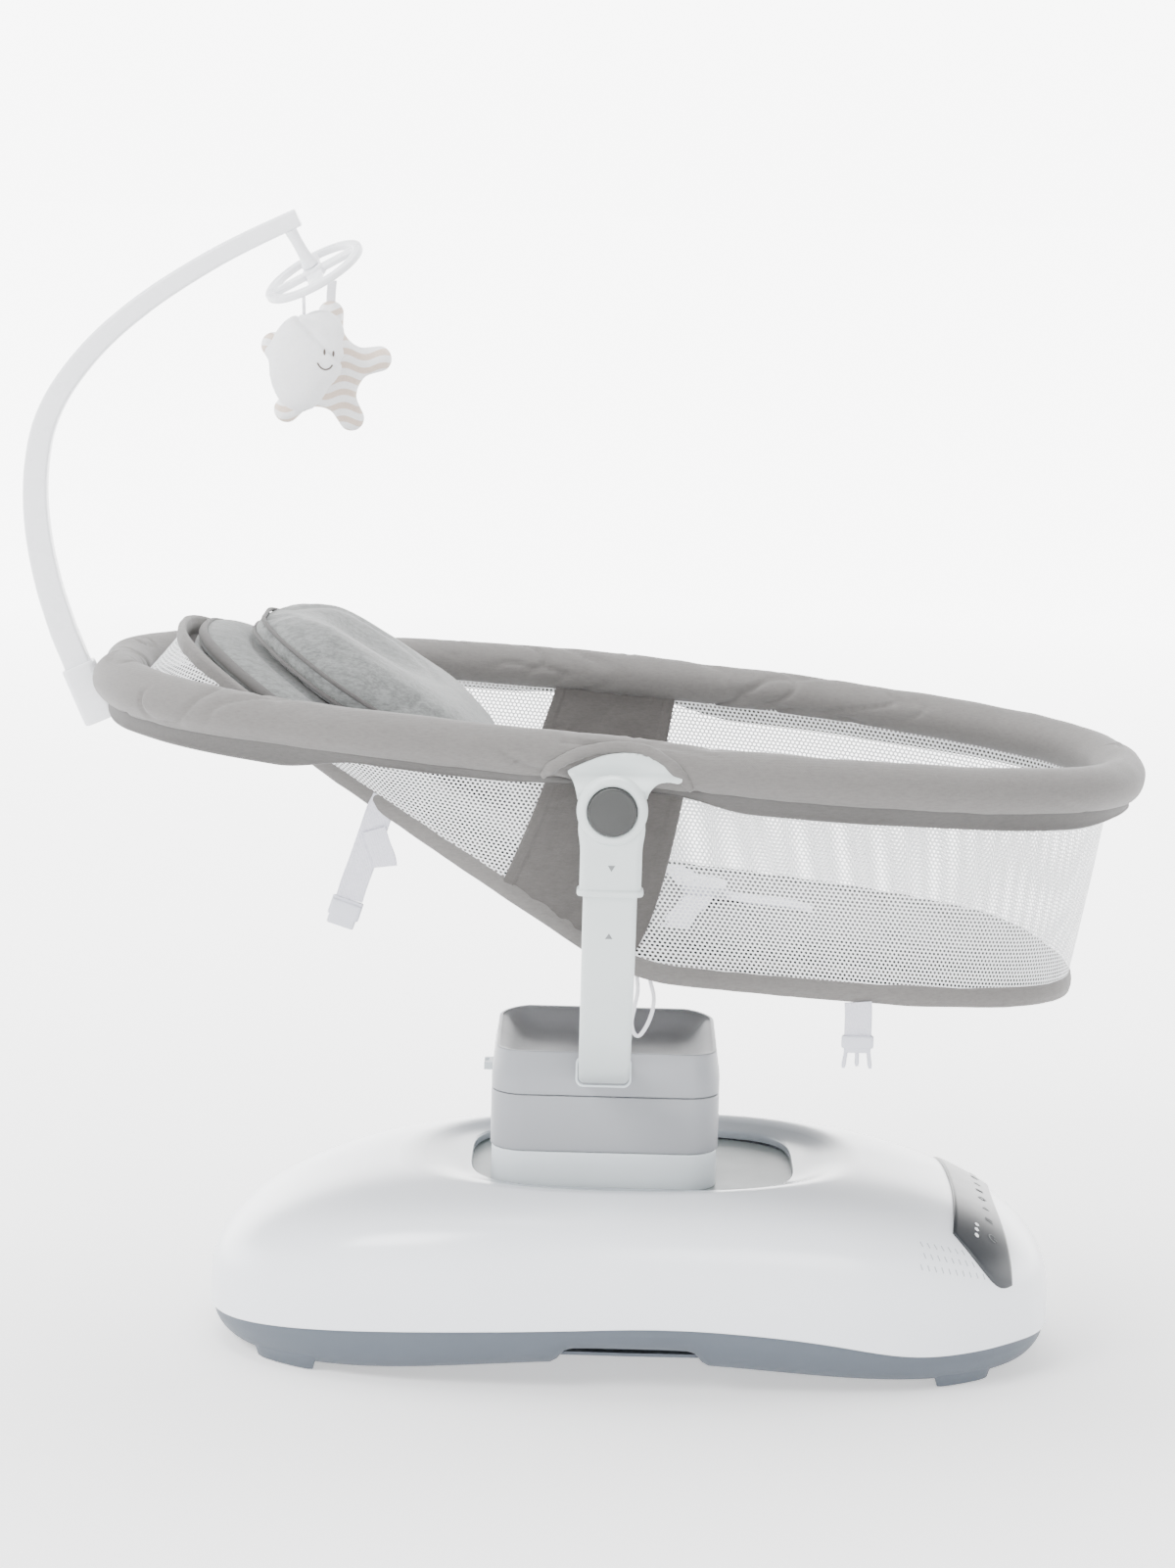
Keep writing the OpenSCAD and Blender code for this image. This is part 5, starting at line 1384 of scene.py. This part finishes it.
# ------------------------------------------------------------------ toy bar and its socket
bar_path = [[-368, 474], [-378, 496], [-387, 517], [-398, 543], [-408.5, 575], [-416, 608], [-419.6, 640], [-418.6, 671], [-412.5, 701], [-398, 730], [-372, 762.5], [-338.5, 792], [-303, 816.5], [-268, 837], [-224.5, 858.6]]
sock = unit(A(-10, 22.5))
Pb = catmull([bar_path[i] for i in range(3, len(bar_path))], 9)
Q = np.vstack([A(-387, 517) - sock * 28, A(-387, 517) - sock * 14, A(-387, 517), Pb])
tg = unit(np.gradient(Q, axis=0))
tg[:3] = sock
R = []
corner = rrect(2, 2, 0.32, 5)
for i in range(len(Q)):
    wdt = mix(20.5, 13.6, max(i - 2, 0) / (len(Q) - 3)) / 2
    if i < 3:
        wdt = 10.2
    nrm = A(tg[i][1], -tg[i][0])
    rr_ = rrect(2 * wdt, 15, 2.6, 5)
    R.append(np.column_stack([Q[i][0] + nrm[0] * rr_[:, 0], rr_[:, 1], Q[i][1] + nrm[1] * rr_[:, 0]]))
endd = tg[-1]
for g, dd in ((0.5, 0.35), (1.3, 0.7)):
    rr_ = rrect(13.6 - g, 15 - g, 2.3, 5)
    nrm = A(endd[1], -endd[0])
    c_ = Q[-1] + endd * dd
    R.append(np.column_stack([c_[0] + nrm[0] * rr_[:, 0], rr_[:, 1], c_[1] + nrm[1] * rr_[:, 0]]))
V, F = loft(np.array(R))
make("toy_bar_arc", V, F, m_bar, "toy_bar", "toybar_white", ("toy_bar",), angle=45)
# socket: a cup for the bar's foot with a collar bead
ax = unit(A(-10, 0, 22.5))
bx = unit(A(22.5, 0, 10))


def sk(rr_, h):
    return A(-387, 0, 517) + rr_[:, :1] * bx + rr_[:, 1:] * A(0, 1, 0) + h * ax


R = [sk(rrect(21.0, 19, 5, 6), -46.0), sk(rrect(24.0, 21.6, 5, 6), -45.4), sk(rrect(25.2, 22.8, 5, 6), -43.6), sk(rrect(25.4, 23, 5, 6), -40), sk(rrect(25.4, 23, 5, 6), -4), sk(rrect(25.3, 22.9, 5, 6), -1.2), sk(rrect(24.4, 22.0, 4.6, 6), -0.2), sk(rrect(22.6, 18.6, 3.2, 6), 0),
     sk(rrect(21.4, 15.9, 2.6, 6), -0.6), sk(rrect(21.3, 15.8, 2.6, 6), -29)]
s1 = loft(np.array(R))
V, F = s1
make("toy_bar_foot_cup", V, F, m_bar, "bassinet", "toybar_white", ("toy_bar_socket",), angle=45)

# ------------------------------------------------------------------ toy ring and its stem
RA, RB = rad(29.5), rad(16)
RC = A(-212, 8, 818.5)


def on_ring(p):
    """rotate about X by RB, then about Y by -RA, then move to the ring's middle"""
    p = np.asarray(p, float)
    x, y, z = p[..., 0], p[..., 1], p[..., 2]
    y, z = y * math.cos(RB) - z * math.sin(RB), y * math.sin(RB) + z * math.cos(RB)
    x, z = x * math.cos(-RA) + z * math.sin(-RA), -x * math.sin(-RA) + z * math.cos(-RA)
    return np.stack([x, y, z], -1) + RC


def turned(prof, k=64, cu=False):
    a = np.arange(k) * 2 * math.pi / k
    R = np.array([np.column_stack([r * np.cos(a), r * np.sin(a), np.full(k, h)]) for r, h in prof])
    return loft(on_ring(R), cu=cu, cap=not cu)


V, F = turned([(2.0, -5), (2.0, 5.4), (6.4, 5.6), (6.6, 6.3), (6.0, 8.2), (5.2, 11), (4.7, 15), (4.4, 20), (4.3, 25), (4.4, 30), (4.7, 34.5), (4.6, 37.2)], 40)
make("ring_stem", V, F, m_bar, "toy_bar", "toybar_white", ("toy_ring_stem",), angle=50)
a = np.arange(28) * 2 * math.pi / 28
sec = [(37.2 + 3.9 * np.sign(np.cos(q)) * abs(np.cos(q)) ** 0.6, 2.9 * np.sign(np.sin(q)) * abs(np.sin(q)) ** 0.6) for q in a]
rg = turned(sec, 96, cu=True)
hub = turned([(2.05, -4.0), (7.8, -4.0), (8.9, -3.2), (9.0, -2), (8.6, 1.6), (7.6, 3.6), (6.4, 4.7), (2.05, 4.9)], 48, cu=True)
parts = [rg, hub]
for q in range(4):
    an = q * math.pi / 2
    u_, v_ = A(math.cos(an), math.sin(an), 0), A(-math.sin(an), math.cos(an), 0)
    o = rrect(27.5, 12.5, 1.6, 4)
    rr3 = []
    for g, z in ((0.5, -1.9), (0, -1.3), (0, 1.3), (0.5, 1.9)):
        f = 1 - g / 5
        rr3.append(on_ring((o[:, :1] + 21.3) * u_ + o[:, 1:] * f * v_ + A(0, 0, z)))
    parts.append(loft(np.array(rr3)))
V, F = join(*parts)
make("ring_wheel", V, F, m_bar, "toy_ring", "toybar_white", ("toy_ring",), angle=45)


# ------------------------------------------------------------------ plush moon and striped star
def blob(c, r, rot=0.0, nu_=36, nv_=24):
    u = np.arange(nu_) * 2 * math.pi / nu_
    v = np.linspace(0.04, math.pi - 0.04, nv_)
    R = np.array([np.column_stack([np.sin(q) * np.cos(u) * r[0], np.sin(q) * np.sin(u) * r[1], np.full(nu_, np.cos(q) * r[2])]) for q in v])
    x, z = R[..., 0] * math.cos(rot) + R[..., 2] * math.sin(rot), -R[..., 0] * math.sin(rot) + R[..., 2] * math.cos(rot)
    return loft(np.stack([x, R[..., 1], z], -1) + A(*c))


def remesh_smooth(o, voxel, it, fac=0.5):
    rm = o.modifiers.new("r", "REMESH")
    rm.mode = "VOXEL"
    rm.voxel_size = voxel
    sm = o.modifiers.new("s", "SMOOTH")
    sm.iterations = it
    sm.factor = fac
    dg = bpy.context.evaluated_depsgraph_get()
    me = bpy.data.meshes.new_from_object(o.evaluated_get(dg))
    o.modifiers.clear()
    o.data = me
    me.polygons.foreach_set("use_smooth", [True] * len(me.polygons))


MC = A(-217.0, -12, 753.5)
V, F = join(blob((-219.5, -12, 751), (24.5, 16.5, 37)), blob((-204.5, -7.5, 774.5), (17.5, 13.5, 16.5), 0.4), blob((-213, -10, 766), (19, 14.5, 20), 0.5), blob((-209, -11, 757), (22.0, 15.5, 27), -0.1), blob((-243.5, -10.5, 758.5), (4.2, 4.6, 6.0)))
moon = make("moon_plush", V, F, m_plush, "moon", "plush_white", ("moon_toy",), angle=None)
remesh_smooth(moon, 0.0022, 6)
P = get_co(moon)
rl = P - MC
seam = np.exp(-((rl[:, 1] - 1) / 1.1) ** 2)
nrm = unit(rl * A(1 / 27 ** 2, 1 / 17 ** 2, 1 / 41 ** 2))
P = P - nrm * (0.9 * seam + 2.6 * np.exp(-((rl[:, 2] - 20 + 0.95 * (rl[:, 0] - 7)) / 3.0) ** 2) * (rl[:, 0] > -6))[:, None] + nrm * (0.6 * fbm(P / 11, 91, 3))[:, None]
set_co(moon, P)
# stitched face: two eyes and a smile, and the hanging loop
sd_ = []
from mathutils.bvhtree import BVHTree
bvh = BVHTree.FromPolygons([tuple(p) for p in P], [tuple(p.vertices) for p in moon.data.polygons])


def snap(x, z, dy=0.4):
    hit = bvh.ray_cast(Vector((x, -80, z)), Vector((0, 1, 0)))
    return A(x, hit[0].y - dy if hit[0] else -20, z)


for x, z in ((-201.0, 760.2), (-194.6, 759.2)):
    c_ = snap(x, z, 0.15)
    sd_.append(blob(c_, (0.95, 0.9, 2.4), 0.0, 14, 10))
sm_ = [snap(x, z, 0.35) for x, z in catmull([(-206.0, 752.2), (-203.6, 748.8), (-200.2, 747.2), (-196.8, 748.4), (-195.0, 750.8)], 5)]
sd_.append(sweep(np.array(sm_), circle(0.62, 10), up=(0, 1, 0)))
V, F = join(*sd_)
make("moon_face", V, F, m_thread, "moon", "plush_white", angle=None)
V, F = sweep(catmull([(-217.6, -11, 783), (-217.8, -10.5, 793), (-218.2, -10, 801), (-218.5, -10, 806)], 5), rrect(2.6, 0.9, 0.4, 3), up=(0, 1, 0))
make("moon_string", V, F, m_cord, "moon", "plush_white", angle=None)

SC = A(-204, 21, 745)
ro = rad(6)
pts = []
for k in range(10):
    r = 51.0 if k % 2 == 0 else 26.5
    an = rad(k * 36) + ro
    pts.append((SC[0] + r * math.sin(an), SC[2] + r * math.cos(an)))
pts = np.array(pts)
cl_ = catmull(np.vstack([pts, pts[:1]]), 10)[:-1]
soft = []
n_ = len(pts)
for k in range(n_):
    p0, p1, p2 = pts[k - 1], pts[k], pts[(k + 1) % n_]
    if k % 2 == 0:
        # a blunt round tip: an arc of radius 10 about a point 9 mm inside the tip
        d_ = unit(p1 - A(SC[0], SC[2]))
        e_ = A(d_[1], -d_[0])
        c_ = p1 - d_ * 9.0
        for j in np.linspace(-1, 1, 13):
            an = rad(78 * j)
            soft.append(c_ + 10.0 * (d_ * math.cos(an) + e_ * math.sin(an)))
    else:
        a_, c_ = p1 + (p0 - p1) * 0.34, p1 + (p2 - p1) * 0.34
        for j in range(8):
            s_ = j / 7
            soft.append((1 - s_) ** 2 * a_ + 2 * s_ * (1 - s_) * p1 + s_ * s_ * c_)
soft = np.array(soft)
v2, f2 = plate2d(soft, 2.6)
dd = np.min(np.linalg.norm(v2[:, None] - soft[None, ::1], axis=-1), axis=1)
hgt = 1.2 + 10.6 * np.sqrt(np.clip(1 - (1 - np.clip(dd / 20, 0, 1)) ** 2, 0, 1)) + 0.7 * fbm(np.column_stack([v2 / 13, v2[:, 0] * 0]), 95, 2) * np.clip(dd / 6, 0, 1)
onb = dd < 1e-4
hgt = np.where(onb, 0.5, hgt)
fr = np.column_stack([v2[:, 0], SC[1] - hgt, v2[:, 1]])
bk = np.column_stack([v2[:, 0], SC[1] + hgt, v2[:, 1]])
V, F = slab(v2, f2, fr, bk)
star = make("star_plush", V, F, m_star, "star", "star_fabric", ("star_toy",), angle=None)
sb = star.modifiers.new("s", "SUBSURF")
sb.levels = sb.render_levels = 1
dg = bpy.context.evaluated_depsgraph_get()
me = bpy.data.meshes.new_from_object(star.evaluated_get(dg))
star.modifiers.clear()
star.data = me
me.polygons.foreach_set("use_smooth", [True] * len(me.polygons))
V, F = ribbon(catmull([(-199.6, 21, 790), (-199.8, 21, 800), (-199.0, 21, 812)], 6), 7.0, X_, 1.0)
make("star_tape", V, F, m_cord, "star", "star_fabric", angle=60)

# ------------------------------------------------------------------ materials for the CAD nodes that stay
for names, mat in (("bottom_plate", m_skirt), ("control_board", m_board), ("speaker power_jack rod_blocks motor_bracket carriage", m_black),
                   ("guide_rods drive_motor base_screws arm_crossbar tower_screws button_springs pivot_pins rim_tube", m_steel),
                   ("stop_bumpers", m_rubber), ("drive_pinion linear_bushes gear_rack", m_nylon), ("slide_plate", m_plate),
                   ("release_tab", m_tower2), ("seat_board back_board", m_boardg)):
    for n in names.split():
        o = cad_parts[n]
        o.data.materials.clear()
        o.data.materials.append(mat)
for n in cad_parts.values():
    if not n.data.materials:
        n.data.materials.append(m_boardg)

# ------------------------------------------------------------------ floor, world, lights
me = bpy.data.meshes.new("floor")
g = 70.0
k = 40
gx = np.linspace(-g, g, k)
vv_ = [(float(x), float(y), -0.0004) for x in gx for y in gx]
me.from_pydata(vv_, [], quads(k, k))
fl = bpy.data.objects.new("floor", me)
scene.collection.objects.link(fl)
MFm = Mat("floor", (0.93, 0.93, 0.935), 0.85, 0.1)
vl_ = MFm.n("ShaderNodeVectorMath")
vl_.operation = "LENGTH"
MFm.link(MFm.co, vl_.inputs[0])
far_ = MFm.math("DIVIDE", vl_.outputs["Value"], 6.0)
MFm.color(MFm.ramp(far_, [(0.12, (0.94, 0.94, 0.945)), (0.75, (0.15, 0.15, 0.15))]))
glow_ = MFm.ramp(far_, [(0.08, (0.17, 0.17, 0.17)), (0.28, (0.45, 0.45, 0.45)), (0.80, (0.98, 0.98, 0.98))])
MFm.link(glow_, MFm.b.inputs["Emission Color"])
vs_ = MFm.n("ShaderNodeSeparateXYZ")
MFm.link(MFm.co, vs_.inputs[0])
vm_ = MFm.n("ShaderNodeMapRange")
vm_.interpolation_type = "SMOOTHSTEP"
for nm_, v_ in (("From Min", -0.9), ("From Max", 1.3), ("To Min", 2.1), ("To Max", 8.0)):
    vm_.inputs[nm_].default_value = v_
MFm.link(vs_.outputs[1], vm_.inputs["Value"])
MFm.link(vm_.outputs["Result"], MFm.b.inputs["Emission Strength"])
me.materials.append(MFm.m)

wd = bpy.data.worlds.new("world")
scene.world = wd
wd.use_nodes = True
wt = wd.node_tree
bg = wt.nodes["Background"]
wco = wt.nodes.new("ShaderNodeTexCoord")
wse = wt.nodes.new("ShaderNodeSeparateXYZ")
wmr = wt.nodes.new("ShaderNodeMapRange")
wmr.inputs["From Min"].default_value = -1.0
wmr.inputs["From Max"].default_value = 1.0
wra = wt.nodes.new("ShaderNodeValToRGB")
wt.links.new(wco.outputs["Generated"], wse.inputs[0])
wt.links.new(wse.outputs[2], wmr.inputs["Value"])
wt.links.new(wmr.outputs["Result"], wra.inputs["Fac"])
ramp_ = [(-1.0, 0.9), (0.0, 0.9), (0.07, 0.95), (0.22, 0.95), (0.42, 0.12), (1.0, 0.09)]
cr_ = wra.color_ramp
cr_.interpolation = "EASE"
while len(cr_.elements) < len(ramp_):
    cr_.elements.new(0.5)
for el_, (z_, v_) in zip(cr_.elements, ramp_):
    el_.position = (z_ + 1) / 2
    el_.color = (v_, v_, v_, 1)
wt.links.new(wra.outputs["Color"], bg.inputs[0])
wmy = wt.nodes.new("ShaderNodeMapRange")
wmy.interpolation_type = "SMOOTHSTEP"
wmy.inputs["From Min"].default_value = -0.25
wmy.inputs["From Max"].default_value = 0.45
wmy.inputs["To Min"].default_value = 2.3
wmy.inputs["To Max"].default_value = 9.0
wt.links.new(wse.outputs[1], wmy.inputs["Value"])
wt.links.new(wmy.outputs["Result"], bg.inputs[1])


def area(name, loc, target, size, power, color=(1, 1, 1)):
    l = bpy.data.lights.new(name, "AREA")
    l.shape = "RECTANGLE"
    l.size, l.size_y = size
    l.energy = power
    l.color = color
    o = bpy.data.objects.new(name, l)
    scene.collection.objects.link(o)
    o.location = loc
    o.rotation_euler = (Vector(target) - Vector(loc)).to_track_quat("-Z", "Y").to_euler()
    return o


area("key", (-2.2, -2.4, 2.7), (0, 0, 0.35), (1.8, 1.4), 175)
area("fill", (0.9, -2.9, 0.75), (0.05, 0, 0.08), (1.8, 0.9), 42)
area("top", (-0.3, 0.3, 3.2), (0, 0, 0.3), (2.6, 2.2), 190)
